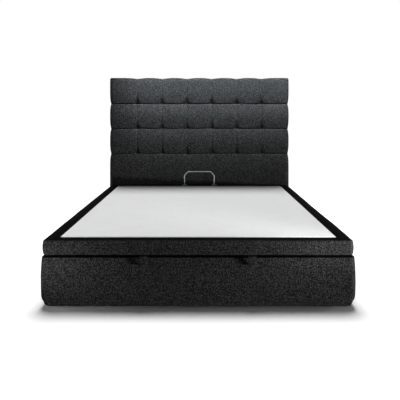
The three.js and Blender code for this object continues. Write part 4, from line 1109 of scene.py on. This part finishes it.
@dataclass
class StorageBase:
    """The padded box: board panels under foam and cloth, a floor, glides and corner irons."""

    frame: dict
    finishes: Finishes
    padding: float = 21.2 * MM
    crown: float = 5 * MM
    seam_radius: float = 8 * MM
    corner_radius: float = 30 * MM
    foot_radius: float = 52 * MM
    side_radius: float = 20 * MM
    step: float = 8 * MM
    staple_spacing: float = 46 * MM
    staple_inset: float = 37 * MM  # from the covers' outer faces, so that the lid hides them
    staple_clear: float = 30 * MM  # between the last staple and a corner

    def section(self, crown: float) -> Section:
        """Returns: the outline across a cover, from its inner top edge outwards and round."""
        low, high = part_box("base_front_cover")
        board_low, board_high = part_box("base_front_board")
        depth, r = high.y - low.y, self.seam_radius
        top, bottom = high.z, low.z
        outer = [
            *line((depth, top), (crown + r, top), 6 * MM),
            *arc((crown + r, top - r), r, 90, 180, 7),
            *crowned(crown, top - r, bottom + r, self.step),
            *arc((crown + r, bottom + r), r, 180, 270, 7),
            *line((crown + r, bottom), (depth, bottom), 6 * MM),
            (depth, bottom),
        ]
        under, over = board_low.z - THIN, board_high.z + THIN
        inner = [(depth, under), (self.padding, under), (self.padding, over), (depth, over)]
        height = np.array(outer + inner)[:, 1]
        # painted shade on the cover's rounded top edge, in the seam under the lid
        return Section(outer, inner, np.clip((height - top + 0.75 * r) / (0.5 * r), 0, 1))

    def rounded_foot(self, points: np.ndarray, section: Section, end: float) -> np.ndarray:
        """Round a cover's lower outer corners: wide at an end of the bed, small along its sides.

        Args:
            points: the cover's grid.
            section: its outline.
            end: the y of the end's outer face, or 0 for a side cover.

        Returns:
            The grid with rounded corners, an end cover's inner wall clear of the rounded board.
        """
        cover_low, cover_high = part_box("base_front_cover")
        half, low = cover_high.x, cover_low.z
        depth = cover_high.y - cover_low.y
        share = np.clip(1 - np.abs(points[..., 1] - end) / depth, 0, 1) if end else 0.0
        widened = np.sqrt(np.clip(1.6 * share, 0, 1))
        radius = self.side_radius + (self.foot_radius - self.side_radius) * widened
        back, up = corner_pull(
            np.abs(points[..., 0]) - (half - radius), low + radius - points[..., 2])
        out = points.copy()
        out[..., 0] -= np.sign(points[..., 0]) * back
        out[..., 2] += up
        shown = len(section.outer)
        out[:, shown:] = points[:, shown:]
        if end:
            wall = self.foot_radius - (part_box("base_front_board")[0].z - low) + THIN
            a = np.abs(points[..., 0]) - (half - self.foot_radius)
            lift = low + self.foot_radius - np.sqrt(np.clip(wall**2 - a**2, 0, None))
            behind = (a > 0) & (a < wall) & (points[..., 2] < lift)
            out[:, shown:, 2] = np.where(behind, lift, points[..., 2])[:, shown:]
        return out

    def covers(self) -> None:
        """Make the four covers: the ends go round the corners, the sides fill in between."""
        low, front_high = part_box("base_front_cover")
        _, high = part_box("base_rear_cover")
        half_x, half_y = high.x, (high.y - low.y) / 2
        middle = (0.0, (high.y + low.y) / 2)
        depth = front_high.y - low.y
        for name, facing, crown, seed, end in (
            ("base_front_cover", Facing.FOOT, self.crown, 3, low.y),
            ("base_rear_cover", Facing.HEAD, 0.0, 5, high.y),
            ("base_side_cover_right", Facing.RIGHT, self.crown, 7, 0.0),
            ("base_side_cover_left", Facing.LEFT, self.crown, 9, 0.0),
        ):
            start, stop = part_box(name)
            if end:
                shape = (middle, half_x, half_y, self.corner_radius, 90, depth)
            else:
                shape = ((0.0, (start.y + stop.y) / 2), (stop.y - start.y) / 2, half_x, 0.0, 0, 0.0)
            run = PaddedRun(*shape, facing, self.step)
            section = self.section(crown)
            points = run.draped(section, Drape(seed=seed, swell=0.9 * MM if crown else 0.0))
            points = self.rounded_foot(points, section, end)
            piece = run.skin(f"{name}_cloth", points, section, self.finishes.upholstery)
            attach(piece, "base", (name,))

    def staples(self) -> None:
        """Staple the covers down along the boards' top edges."""
        low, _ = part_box("base_front_cover")
        _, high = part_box("base_rear_cover")
        inset, clear, z = self.staple_inset, self.staple_clear, high.z + 0.2 * MM
        x, front, back = high.x - inset, low.y + inset, high.y - inset
        row = FasteningRow(
            Fastening.STAPLE, self.staple_spacing, STAPLE_LENGTH, 1.1 * MM, 0.25,
            self.finishes.zinc)
        paths = [[(-x + clear, y, z), (x - clear, y, z)] for y in (front, back)]
        paths += [[(side, front + clear, z), (side, back - clear, z)] for side in (x, -x)]
        attach(row.lay("base_cover_staples", paths, (0, 0, 1)), "base")

    def build(self) -> None:
        """Make the covers and give the rest its finishes."""
        self.covers()
        self.staples()
        done = self.finishes
        dress(self.frame, done.particle_board, "base_front_board", "base_rear_board",
              *both("base_side_board"))
        dress(self.frame, done.zinc, *both("corner_bracket_front", "corner_bracket_rear"))
        dress(self.frame, done.pine_rail, "floor_centre_rail", *both("floor_ledge"))
        dress(self.frame, done.hardboard, *both("floor_panel"))
        dress(self.frame, done.plastic, "glide_centre_front", "glide_centre_rear",
              *both("glide_front", "glide_rear"))


@dataclass
class Lid:
    """The lid: a steel frame under a board, padded bands, a knitted top, tabs and a wire loop."""

    frame: dict
    finishes: Finishes
    side_crown: float = 3 * MM
    seam_radius: float = 7 * MM
    top_radius: float = 8 * MM
    border_crown: float = 2.5 * MM
    border_steps: int = 8
    turn_under: float = 46 * MM
    padding: float = 18.2 * MM
    corner_radius: float = 30 * MM
    tab_thickness: float = 3 * MM
    tab_bend: float = 12 * MM
    tab_fold: float = 0.7  # how much thicker a tab's folded end is
    tab_gap: float = 10 * MM  # between a tab's end and the base's cover
    step: float = 8 * MM

    def section(self) -> Section:
        """Returns: the outline across a band, from under the frame outwards and up."""
        low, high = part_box("lid_band_front")
        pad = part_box("lid_top_pad")[0]
        width = pad.y - low.y - THIN
        top, bottom = high.z, low.z
        r, big, side = self.seam_radius, self.top_radius, self.side_crown
        brow = top - self.border_crown
        border = []
        for i in range(self.border_steps + 1):
            s = 2 * i / self.border_steps - 1
            inward = side + big + (width - side - big) * i / self.border_steps
            border.append((inward, top - self.border_crown * s * s))
        outer = [
            *line((self.turn_under, bottom), (side + r, bottom), 6 * MM),
            *arc((side + r, bottom + r), r, 270, 180, 7),
            (side, bottom + r),
            *reversed(crowned(side, brow - big, bottom + r, 5 * MM)),
            *arc((side + big, brow - big), big, 180, 90, 9)[1:],
            *border,
        ]
        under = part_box("lid_foot_rail")[0].z - THIN
        inner = [(width, pad.z), (self.padding, pad.z), (self.padding, under),
                 (self.turn_under, under)]
        inward, height = np.array(outer + inner).T
        # painted shade on the up-facing border beside the knitted top
        on_top = np.clip((inward - side - 2 * MM) / big, 0, 1)
        # painted shade on the band's lower rounded edge, over the seam with the base
        below = np.clip((bottom + 0.6 * r - height) / (0.4 * r), 0, 1)
        return Section(outer, inner, np.maximum(on_top, below))

    def bands(self) -> None:
        """Make the four bands, mitred at the corners."""
        low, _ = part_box("lid_band_front")
        _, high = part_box("lid_band_rear")
        half_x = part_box("lid_band_right")[1].x
        half_y = (high.y - low.y) / 2
        middle = (0.0, (high.y + low.y) / 2)
        section = self.section()
        for side, facing, seed in (
            ("front", Facing.FOOT, 21), ("rear", Facing.HEAD, 23),
            ("right", Facing.RIGHT, 25), ("left", Facing.LEFT, 27),
        ):
            halves = (half_x, half_y) if facing.value % 2 == 0 else (half_y, half_x)
            run = PaddedRun(middle, *halves, self.corner_radius, 45, 0.0, facing, self.step)
            drape = Drape(seed=seed, swell=0.7 * MM, gather=1.0 * MM, end_dip=1.6 * MM)
            piece = run.skin(f"lid_band_{side}_cloth", run.draped(section, drape), section,
                             self.finishes.upholstery)
            attach(piece, "lid", (f"lid_band_{side}",))

    def top(self) -> None:
        """Make the knitted top, with a tucked edge and slow swells."""
        low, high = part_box("lid_top_pad")
        edge, corner, spacing = 6 * MM, 12 * MM, 18 * MM
        x, y = np.meshgrid(edged_lines(low.x, high.x, edge, spacing),
                           edged_lines(low.y, high.y, edge, spacing))
        x, y = round_corners(x, y, (low.x, low.y), (high.x, high.y), corner)
        gap = np.minimum.reduce([x - low.x, high.x - x, y - low.y, high.y - y])
        share = np.clip(gap / edge, 0, 1)
        z = high.z - edge * (1 - np.sqrt(1 - (1 - share) ** 2))
        inside = np.clip(gap / (60 * MM), 0, 1)
        z = z - 0.5 * MM * inside * (1 + smooth_noise(x, y, 0.21, 31)) / 2
        face = np.stack([x, y, z], axis=2)
        rim = face.reshape(-1, 3)[rim_of(*x.shape)]
        loops = [np.column_stack([rim[:, :2], np.full(len(rim), h)])
                 for h in ((high.z - edge + low.z) / 2, low.z)]
        piece = closed_pad(
            "lid_knit_top", face, np.stack([x, y], axis=2), loops, self.finishes.knit)
        attach(piece, "lid", ("lid_top_pad",))

    def border_stitches(self) -> None:
        """Sew the border down beside the knitted top."""
        low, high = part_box("lid_top_pad")
        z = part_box("lid_band_front")[1].z - self.border_crown * 0.82
        away = 4.5 * MM
        x, front, back = high.x + away, low.y - away, high.y + away
        row = FasteningRow(
            Fastening.STITCH, 4.6 * MM, 3.6 * MM, 0.8 * MM, 0.05, self.finishes.thread)
        corners = [(-x, front, z), (x, front, z), (x, back, z), (-x, back, z), (-x, front, z)]
        attach(row.lay("lid_border_stitches", [corners], (0, 0, 1)), "lid")

    def tab(self, name: str) -> None:
        """Make one pull tab: doubled cloth from under the lid, out through the gap and down.

        Args:
            name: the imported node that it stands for.
        """
        low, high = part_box(name)
        middle, half = (low.x + high.x) / 2, (high.x - low.x) / 2
        thin = self.tab_thickness / 2
        bend = self.tab_bend - thin
        level, front = high.z - thin, low.y + thin
        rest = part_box("base_front_cover")[0].y - self.tab_gap - thin
        drop = level - bend - low.z
        heights = [low.z + rise * MM for rise in (2.6, 1.8, 1.0, 0.4, 0.0)]
        hanging = [
            (front + (rest - front) * ((level - bend - z) / drop) ** 1.3, z)
            for z in [*np.linspace(level - bend, low.z + 3.4 * MM, 12), *heights]
        ]
        route = np.array([
            *line((high.y, level), (front + bend, level), 3 * MM),
            *arc((front + bend, level - bend), bend, 90, 180, 8),
            *hanging,
        ])
        y, z = route.T
        dy, dz = np.gradient(y), np.gradient(z)
        size = np.hypot(dy, dz)
        along = run_lengths(route)
        left = along[-1] - along
        angles = np.linspace(0, 2 * math.pi, 28, endpoint=False)
        across = np.sign(np.cos(angles)) * np.abs(np.cos(angles)) ** 0.35 * half
        thick = np.sign(np.sin(angles)) * np.abs(np.sin(angles)) ** 0.6 * thin
        fold = 1 + self.tab_fold * np.exp(-((left / (6 * MM)) ** 2))
        reach = thin * (1 + self.tab_fold)
        closing = np.sqrt(np.clip(1 - np.clip(1 - left / reach, 0, 1) ** 2, 0.03, 1))
        hangs = np.clip((level - bend - z) / drop, 0, 1)
        cup = 1.4 * MM * hangs[:, None] * (np.abs(across / half) ** 2)[None, :]
        selvedge = 1 + 0.25 * np.abs(across / half) ** 6
        lift = cup + thick[None, :] * (fold * closing)[:, None] * selvedge[None, :]
        points = np.stack([
            middle + across[None, :] * (1 - 0.03 * hangs)[:, None],
            y[:, None] + (-dz / size)[:, None] * lift,
            z[:, None] + (dy / size)[:, None] * lift,
        ], axis=2)
        u, v = np.meshgrid(along, across, indexing="ij")
        cloth = np.stack([v, u], axis=2)
        piece = lofted(f"{name}_strap", points, cloth, self.finishes.upholstery)
        attach(piece, "lid", (name,))
        row = FasteningRow(
            Fastening.STITCH, 3.4 * MM, 2.7 * MM, 0.7 * MM, 0.05, self.finishes.thread)
        side = half - 4 * MM
        seam = [
            (side, front_y - thin + 1.4 * MM * share * (side / half) ** 2, height)
            for front_y, height, share in zip(y, z, hangs)
            if low.z + 5 * MM < height <= level - bend
        ]
        path = [(middle - x, *others) for x, *others in seam]
        path += [(middle + x, *others) for x, *others in reversed(seam)]
        attach(row.lay(f"{name}_stitches", [path], (0, -1, 0)), "lid")

    def build(self) -> None:
        """Make the soft pieces, and give the frame its finishes."""
        self.bands()
        self.top()
        self.border_stitches()
        for name in both("pull_tab"):
            self.tab(name)
        dress(self.frame, self.finishes.frame_steel, *both("lid_side_rail"), "lid_head_rail",
              "lid_foot_rail", "lid_cross_bar_front", "lid_cross_bar_rear")
        dress(self.frame, self.finishes.particle_board, "lid_board")


@dataclass
class MattressRetainer:
    """The wire loop that keeps the mattress in place, on two screwed foot plates."""

    finishes: Finishes
    width: float = 246 * MM
    splay: float = 2.5 * MM
    leg_height: float = 81 * MM
    top_bar: float = 190 * MM
    rod: float = 4 * MM
    bend: float = 10 * MM
    plate: Point = (17 * MM, 6 * MM)  # from a foot plate's middle to its corners' centres
    plate_corner: float = 5 * MM
    screw_place: float = 13 * MM  # from a foot plate's middle
    screw_radius: float = 4.2 * MM
    recess: Point = (0.55 * MM, 2.2 * MM)  # half the width and length of a recess's arm

    def build(self) -> None:
        """Make the loop with its feet and screws."""
        low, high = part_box("mattress_retainer")
        y, foot = (low.y + high.y) / 2, low.z
        half, shoulder, bar = self.width / 2, foot + self.leg_height, self.top_bar / 2
        corners = [(-half, foot), (-half - self.splay, shoulder), (-bar, high.z - self.rod),
                   (bar, high.z - self.rod), (half + self.splay, shoulder), (half, foot)]
        path = np.array([(x, y, z) for x, z in bent_route(corners, self.bend, 9)])
        pieces = [tube("wire", path, self.rod, self.finishes.wire)]
        pieces += [self.foot_plate(side, y, foot) for side in (-half, half)]
        whole = joined("mattress_retainer_wire", pieces)
        attach(whole, "lid", ("mattress_retainer",))
        screws = [self.screw(side + step, y, foot + 2.5 * MM)
                  for side in (-half, half) for step in (-self.screw_place, self.screw_place)]
        attach(joined("retainer_screws", screws), "lid")

    def foot_plate(self, x: float, y: float, z: float) -> bpy.types.Object:
        """Make one rounded foot plate.

        Args:
            x: its middle across the bed.
            y: its middle along the bed.
            z: its underside.

        Returns:
            The plate.
        """
        points = []
        for turn, (sx, sy) in enumerate(((1, 1), (-1, 1), (-1, -1), (1, -1))):
            centre = (x + sx * self.plate[0], y + sy * self.plate[1])
            points += arc(centre, self.plate_corner, 90 * turn, 90 * turn + 90, 5)
            points += arc(centre, self.plate_corner, 90 * turn + 90, 0, 1)
        outline = np.array(points)
        gap = outline - np.array([x, y])
        inwards = gap / np.linalg.norm(gap, axis=1, keepdims=True)
        rings = [
            np.column_stack([outline - inwards * shrink * MM, np.full(len(outline), z + rise * MM)])
            for shrink, rise in ((0.0, 0.0), (0.0, 1.9), (0.4, 2.4), (0.9, 2.5))
        ]
        return lofted("foot_plate", np.array(rings), None, self.finishes.wire)

    def screw(self, x: float, y: float, z: float) -> bpy.types.Object:
        """Make one pan-head screw with a cross recess.

        Args:
            x: its middle across the bed.
            y: its middle along the bed.
            z: the face that it sits on.

        Returns:
            The head.
        """
        radius, height, count = self.screw_radius, 1.7 * MM, 17
        a, b = np.meshgrid(np.linspace(-1, 1, count), np.linspace(-1, 1, count))
        square = np.maximum(np.abs(a), np.abs(b))
        size = np.maximum(np.hypot(a, b), 1e-9)
        px, py = a * square / size * radius, b * square / size * radius
        dome = z + height * np.sqrt(np.clip(1 - (np.hypot(px, py) / radius) ** 2 * 0.9, 0, 1))
        narrow, long = self.recess
        cross = ((np.abs(px) < narrow) & (np.abs(py) < long)) | (
            (np.abs(py) < narrow) & (np.abs(px) < long))
        dome = np.where(cross, dome - 0.9 * MM, dome)
        face = np.stack([x + px, y + py, dome], axis=2)
        rim = face.reshape(-1, 3)[rim_of(count, count)].copy()
        rim[:, 2] = z - 0.5 * MM
        return closed_pad("screw", face, np.stack([px, py], axis=2), [rim], self.finishes.zinc)


def bent_route(corners: list[Point], bend: float, steps: int) -> list[Point]:
    """Straight runs with a smooth bend at each corner.

    Args:
        corners: the corner points.
        bend: how far from a corner its bend starts.
        steps: points in each bend.

    Returns:
        Points along the route.
    """
    points = [np.array(corners[0])]
    for before, corner, after in zip(corners, corners[1:], corners[2:]):
        a, b, c = map(np.array, (before, corner, after))
        start = b + (a - b) / np.linalg.norm(a - b) * bend
        end = b + (c - b) / np.linalg.norm(c - b) * bend
        for i in range(steps + 1):
            t = i / steps
            points.append(start * (1 - t) ** 2 + 2 * b * t * (1 - t) + end * t * t)
    points.append(np.array(corners[-1]))
    dense = []
    for a, b in zip(points, points[1:]):
        dense += line(tuple(a), tuple(b), 5 * MM)
    return [*dense, tuple(points[-1])]


@dataclass
class Headboard:
    """The headboard: a foam pad sewn into tufts over a board, a lining, two legs and bolts."""

    frame: dict
    finishes: Finishes
    columns: int = 7
    column_pitch: float = 212 * MM
    top_tuft: float = 219.6 * MM
    row_pitch: float = 212.3 * MM
    rows: int = 3
    row_depth: float = 22 * MM
    column_depth: float = 12 * MM
    dimple: float = 13 * MM
    arch: float = 3.5 * MM
    pleat: float = 1.6 * MM
    scallop: float = 11 * MM
    side_dip: float = 9 * MM
    rounding: float = 34 * MM
    edge: float = 16 * MM
    corner: float = 14 * MM
    spacing: float = 7.5 * MM  # between the grid's lines, away from seams and edges
    edge_reach: float = 70 * MM  # how far the scallops, side dips and lowest seams run out
    lower_reach: float = 120 * MM  # how far the plain lower panel swells below its seam

    def seams(self) -> tuple[np.ndarray, np.ndarray]:
        """Returns: the places of the upright seams and of the level ones."""
        _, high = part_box("headboard_pad")
        upright = (np.arange(1, self.columns) - self.columns / 2) * self.column_pitch
        level = high.z - self.top_tuft - np.arange(self.rows) * self.row_pitch
        return upright, level

    def lines(self) -> list[np.ndarray]:
        """Returns: the grid's x and z lines, crowded at the edges and the seams."""
        low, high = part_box("headboard_pad")
        upright, level = self.seams()
        found = []
        for start, end, seams, clear, steps in (
            (low.x, high.x, upright, 14.5, (1.3, 2.8, 4.5, 6.5, 9, 12)),
            (low.z, high.z, level, 15.5, (0.9, 1.8, 2.8, 4, 5.5, 7.5, 10, 13)),
        ):
            near = np.array([*(-step for step in reversed(steps)), 0, *steps]) * MM
            lines = edged_lines(start, end, self.rounding, self.spacing)
            lines = lines[np.abs(from_nearest(lines, seams)[0]) > clear * MM]
            found.append(np.sort(np.concatenate([lines, *[seam + near for seam in seams]])))
        return found

    def relief(self, x: np.ndarray, z: np.ndarray) -> np.ndarray:
        """How far the sewn face lies behind a flat one.

        Args:
            x: places across the headboard.
            z: places up it.

        Returns:
            The depth at each place.
        """
        upright, level = self.seams()
        half_row = self.row_pitch / 2
        beside, _ = from_nearest(x, upright)
        above, nearest = from_nearest(z, level)
        from_column, from_row = np.abs(beside), np.abs(above)
        reach = np.where(z < level.min(), self.lower_reach, half_row)
        roll = np.clip(1 - from_row / reach, 0, 1) ** np.where(above > 0, 1.7, 1.9)
        from_top = np.clip(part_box("headboard_pad")[1].z - z, 0, None)
        roll = roll + 0.8 * np.clip(1 - from_top / half_row, 0, 1) ** 1.9
        tuck = np.exp(-((from_row / (4.5 * MM)) ** 2))
        fade = np.clip((z - (level.min() - self.edge_reach)) / self.edge_reach, 0, 1)
        fade = fade * fade * (3 - 2 * fade)
        pull = 0.5 + 0.5 * np.clip(1 - from_row / half_row, 0, 1) ** 1.5
        column = np.clip(1 - from_column / (self.column_pitch / 2), 0, 1) ** 3
        crease = np.exp(-((from_column / (8 * MM)) ** 2))
        rise, fall = np.clip(above, 0, None), np.clip(-above, 0, None)
        width = np.clip(20 * MM - 0.3 * rise, 5 * MM, None)
        pit = np.exp(-((from_column / width) ** 2) - (rise / (34 * MM)) ** 2 - (fall / (8 * MM)) ** 2)
        away = np.hypot(from_column, above)
        turn = np.arctan2(above, beside)
        pleats = np.exp(-away / (38 * MM)) * (1 - np.exp(-((away / (9 * MM)) ** 2)))
        pleats = pleats * np.sin(9 * turn + 3 * nearest + 40 * (x - beside))
        return (
            self.row_depth * (0.66 * roll + 0.26 * tuck)
            + self.column_depth * (0.6 * column + 0.4 * crease) * pull * fade
            + self.dimple * pit
            + self.pleat * pleats
        )

    def face(self) -> tuple[np.ndarray, np.ndarray]:
        """Returns: the sewn face's points and its cloth coordinates."""
        low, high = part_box("headboard_pad")
        upright, level = self.seams()
        x, z = np.meshgrid(*self.lines())
        creases = smooth_noise(x, z * 0.35, 0.03, 41) * 0.5 + smooth_noise(x, z, 0.09, 43)
        drop = self.relief(x, z) + 0.7 * MM * creases
        from_side, from_top = high.x - np.abs(x), high.z - z
        rounded = np.ones_like(x)
        for gap in (from_side, from_top, z - low.z):
            share = np.clip(gap / self.rounding, 0, 1)
            rounded = rounded * np.sqrt(1 - (1 - share) ** 2)
        y = high.y - self.edge - (high.y - low.y - self.edge - drop) * rounded
        column_share = np.abs(from_nearest(x, upright)[0]) / (self.column_pitch / 2)
        from_row = np.abs(from_nearest(z, level)[0])
        column = np.clip(1 - column_share, 0, 1) ** 2.4
        row = np.clip(1 - from_row / (self.row_pitch / 2), 0, 1) ** 3
        near_top = np.clip(1 - from_top / self.edge_reach, 0, 1)
        near_side = np.clip(1 - from_side / self.edge_reach, 0, 1)
        near_seam = np.exp(-((from_row / (50 * MM)) ** 2))
        arched = self.arch * near_seam * np.cos(
            np.clip(column_share, 0, 1) * math.pi / 2 + math.pi / 2)
        moved_x, moved_z = round_corners(
            x - np.sign(x) * self.side_dip * row * near_side,
            z - self.scallop * column * near_top + arched,
            (low.x, low.z), (high.x, high.z), self.corner,
        )
        return np.stack([moved_x, y, moved_z], axis=2), np.stack([x, z], axis=2)

    def pad(self) -> None:
        """Make the pad: the sewn face, its sides and the cloth turned onto the board's back."""
        low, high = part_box("headboard_pad")
        board_low, board_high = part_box("headboard_board")
        face, cloth = self.face()
        rim = face.reshape(-1, 3)[rim_of(*face.shape[:2])]
        middle_z = (low.z + high.z) / 2
        half = np.array([high.x, high.z - middle_z])
        centred = np.column_stack([rim[:, 0], rim[:, 2] - middle_z])
        square = centred / np.maximum.reduce(np.abs(centred) / half, axis=1)[:, None]
        back = board_high.y
        loops = []
        for inset, y, keep in (
            (0.0, high.y - 4 * MM, 0.9), (0.0, back - 8 * MM, 0.64), (0.0, back - 2.5 * MM, 0.6),
            (0.9 * MM, back, 0.5), (3 * MM, back + 0.7 * MM, 0.3), (22 * MM, back + 0.7 * MM, 0.0),
            (22 * MM, back + 0.1 * MM, 0.0), (7.7 * MM, back + 0.1 * MM, 0.0),
            (7.7 * MM, board_low.y - 0.1 * MM, 0.0),
        ):
            flat = (centred * keep + square * (1 - keep)) * (1 - inset / half)
            loops.append(np.column_stack([flat[:, 0], np.full(len(flat), y), flat[:, 1] + middle_z]))
        piece = closed_pad("headboard_pad_cloth", face, cloth, loops, self.finishes.upholstery)
        attach(piece, "base", ("headboard_pad",))

    def back_lining(self) -> None:
        """Make the lining stapled over the back."""
        low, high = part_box("headboard_back_lining")
        x, z = np.meshgrid(np.linspace(low.x, high.x, 90), np.linspace(low.z, high.z, 70))
        gap = np.minimum.reduce([x - low.x, high.x - x, z - low.z, high.z - z])
        slack = 0.25 * MM * np.clip(gap / (30 * MM), 0, 1) * (smooth_noise(x, z, 0.12, 51) - 1)
        face = np.stack([x, high.y + slack, z], axis=2)
        rim = face.reshape(-1, 3)[rim_of(*x.shape)].copy()
        rim[:, 1] = high.y - 0.5 * MM
        piece = closed_pad(
            "headboard_lining_cloth", face, np.stack([x, z], axis=2), [rim], self.finishes.lining)
        attach(piece, "base", ("headboard_back_lining",))
        row = FasteningRow(
            Fastening.STAPLE, 52 * MM, STAPLE_LENGTH, 0.9 * MM, 0.3, self.finishes.zinc)
        inset, y = 8 * MM, high.y + 0.25 * MM
        left, right, bottom, top = low.x + inset, high.x - inset, low.z + inset, high.z - inset
        border = [(left, y, bottom), (right, y, bottom), (right, y, top), (left, y, top),
                  (left, y, bottom)]
        attach(row.lay("headboard_lining_staples", [border], (0, 1, 0)), "base")

    def build(self) -> None:
        """Make the pad and lining, and give the rest its finishes."""
        self.pad()
        self.back_lining()
        dress(self.frame, self.finishes.particle_board, "headboard_board")
        dress(self.frame, self.finishes.pine_leg, *both("headboard_leg"))
        dress(self.frame, self.finishes.zinc, *both("headboard_bolt_low", "headboard_bolt_high"))


@dataclass
class LiftMechanism:
    """The two four-bar hinges with their gas struts."""

    frame: dict
    finishes: Finishes

    def build(self) -> None:
        """Give the plates, arms and struts their finishes."""
        dress(self.frame, self.finishes.frame_steel,
              *both("base_bracket", "lid_bracket", "lift_arm", "control_arm"))
        dress(self.frame, self.finishes.strut_enamel, *both("gas_strut_cylinder"))
        dress(self.frame, self.finishes.chrome, *both("gas_strut_rod"))


@dataclass
class Studio:
    """A pale floor, soft lamps and a level camera in front of the foot end."""

    lens: float = 46.02
    camera_place: tuple[float, float, float] = (0.0138, -3.4294, 0.9306)
    shift: Point = (-0.0024, -0.2169)
    floor_reach: float = 60.0

    def camera(self) -> None:
        """Place the camera."""
        data = bpy.data.cameras.new("camera")
        data.lens, data.sensor_width, data.clip_end = self.lens, 36.0, 200.0
        data.shift_x, data.shift_y = self.shift
        camera = placed("camera", data)
        camera.location = self.camera_place
        camera.rotation_euler = (math.pi / 2, 0, 0)
        bpy.context.scene.camera = camera

    def seen_or_lit(self, tree: bpy.types.NodeTree, lit: float, seen: float) -> Socket:
        """Pick one grey for what is seen and another for what lights the bed.

        Args:
            tree: the tree that gets the nodes.
            lit: the grey for the rays that light other things.
            seen: the grey for camera, glossy and transmission rays.

        Returns:
            The colour's socket.
        """
        path = add_node(tree, "ShaderNodeLightPath")
        share = path["Is Camera Ray"]
        for kind in ("Is Glossy Ray", "Is Transmission Ray"):
            share = add_node(tree, "ShaderNodeMath", {0: share, 1: path[kind]}, operation="MAXIMUM")[0]
        greys = {0: share, 6: linear(lit), 7: linear(seen)}
        return add_node(tree, "ShaderNodeMix", greys, data_type="RGBA")[2]

    def floor(self) -> None:
        """Lay a pale floor that shows white with the bed's shadow on it."""
        material, tree, bsdf = new_material(
            "pale_vinyl_floor", Roughness=0.9, Specular_IOR_Level=0.0)
        tree.links.new(self.seen_or_lit(tree, 0.1, 1.22), bsdf.inputs["Base Color"])
        mesh = bpy.data.meshes.new("floor")
        reach = self.floor_reach
        mesh.from_pydata([(-reach, -reach, 0), (reach, -reach, 0), (reach, reach, 0),
                          (-reach, reach, 0)], [], [(0, 1, 2, 3)])
        mesh.materials.append(material)
        floor = placed("floor", mesh)

    def world(self) -> None:
        """Light the room evenly, with a white background for the camera."""
        world = bpy.data.worlds.new("room")
        bpy.context.scene.world = world
        world.use_nodes = True
        tree = world.node_tree
        background = tree.nodes["Background"]
        tree.links.new(self.seen_or_lit(tree, 0.05, 1.0), background.inputs["Color"])
        background.inputs["Strength"].default_value = 1.0

    def sun(self, name: str, strength: float, spread: float, towards: tuple) -> None:
        """Hang one soft lamp far away.

        Args:
            name: its name.
            strength: its strength.
            spread: how wide it looks, in degrees.
            towards: the direction to the lamp, from the bed.
        """
        data = bpy.data.lights.new(name, "SUN")
        data.energy, data.angle = strength, math.radians(spread)
        lamp = placed(name, data)
        lamp.rotation_euler = Vector(towards).to_track_quat("Z", "Y").to_euler()

    def panel_lamp(
        self, name: str, watts: float, size: Point, place: tuple, towards: tuple, spread: float,
        tint: str = "#ffffff",
    ) -> None:
        """Hang one soft box.

        Args:
            name: its name.
            watts: its power.
            size: its width and height.
            place: where it hangs.
            towards: the point that it faces.
            spread: how far its light opens, in degrees.
            tint: the colour of its light.
        """
        data = bpy.data.lights.new(name, "AREA")
        data.energy, data.shape, data.color = watts, "RECTANGLE", linear(tint)[:3]
        data.size, data.size_y = size
        data.spread = math.radians(spread)
        lamp = placed(name, data)
        lamp.location = place
        lamp.rotation_euler = (Vector(place) - Vector(towards)).to_track_quat("Z", "Y").to_euler()
        lamp.visible_camera = False

    def build(self) -> None:
        """Set the studio up."""
        bpy.context.scene.view_settings.view_transform = "Standard"
        self.camera()
        self.floor()
        self.world()
        self.sun("top", 2.7, 28, (0.0, 0.355, 1.0))
        for name, watts, size, place, towards, *rest in (
            ("headboard_wash", 11.3, (1.9, 0.12), (0.28, 0.35, 2.05), (0.28, 0.92, 1.09), 28, "#f0fbff"),
            ("key", 48.0, (0.7, 0.1), (6.0, -3.0, 0.08), (0.0, -1.0, 0.22), 50),
            ("front", 3.0, (3.0, 0.3), (0.0, -5.2, 0.25), (0.0, 0.0, 0.4), 180),
            ("right", 0.66, (0.3, 0.15), (1.25, -1.5, 0.42), (0.66, -1.0, 0.34), 30),
            ("left", 0.46, (0.3, 0.15), (-1.25, -1.5, 0.31), (-0.75, -1.0, 0.23), 32),
            ("side_left", 8.0, (1.6, 0.2), (-3.2, 0.3, 0.25), (-0.75, 0.1, 0.2), 44),
            ("side_right", 8.0, (1.6, 0.2), (3.2, 0.3, 0.25), (0.75, 0.1, 0.2), 44),
        ):
            self.panel_lamp(name, watts, size, place, towards, *rest)


def main() -> None:
    """Build the studio and the bed."""
    logging.basicConfig(level=logging.INFO, format="%(name)s: %(message)s")
    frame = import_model()
    finishes = Finishes()
    Studio().build()
    StorageBase(frame, finishes).build()
    Lid(frame, finishes).build()
    MattressRetainer(finishes).build()
    Headboard(frame, finishes).build()
    LiftMechanism(frame, finishes).build()


if __name__ == "__main__":
    main()
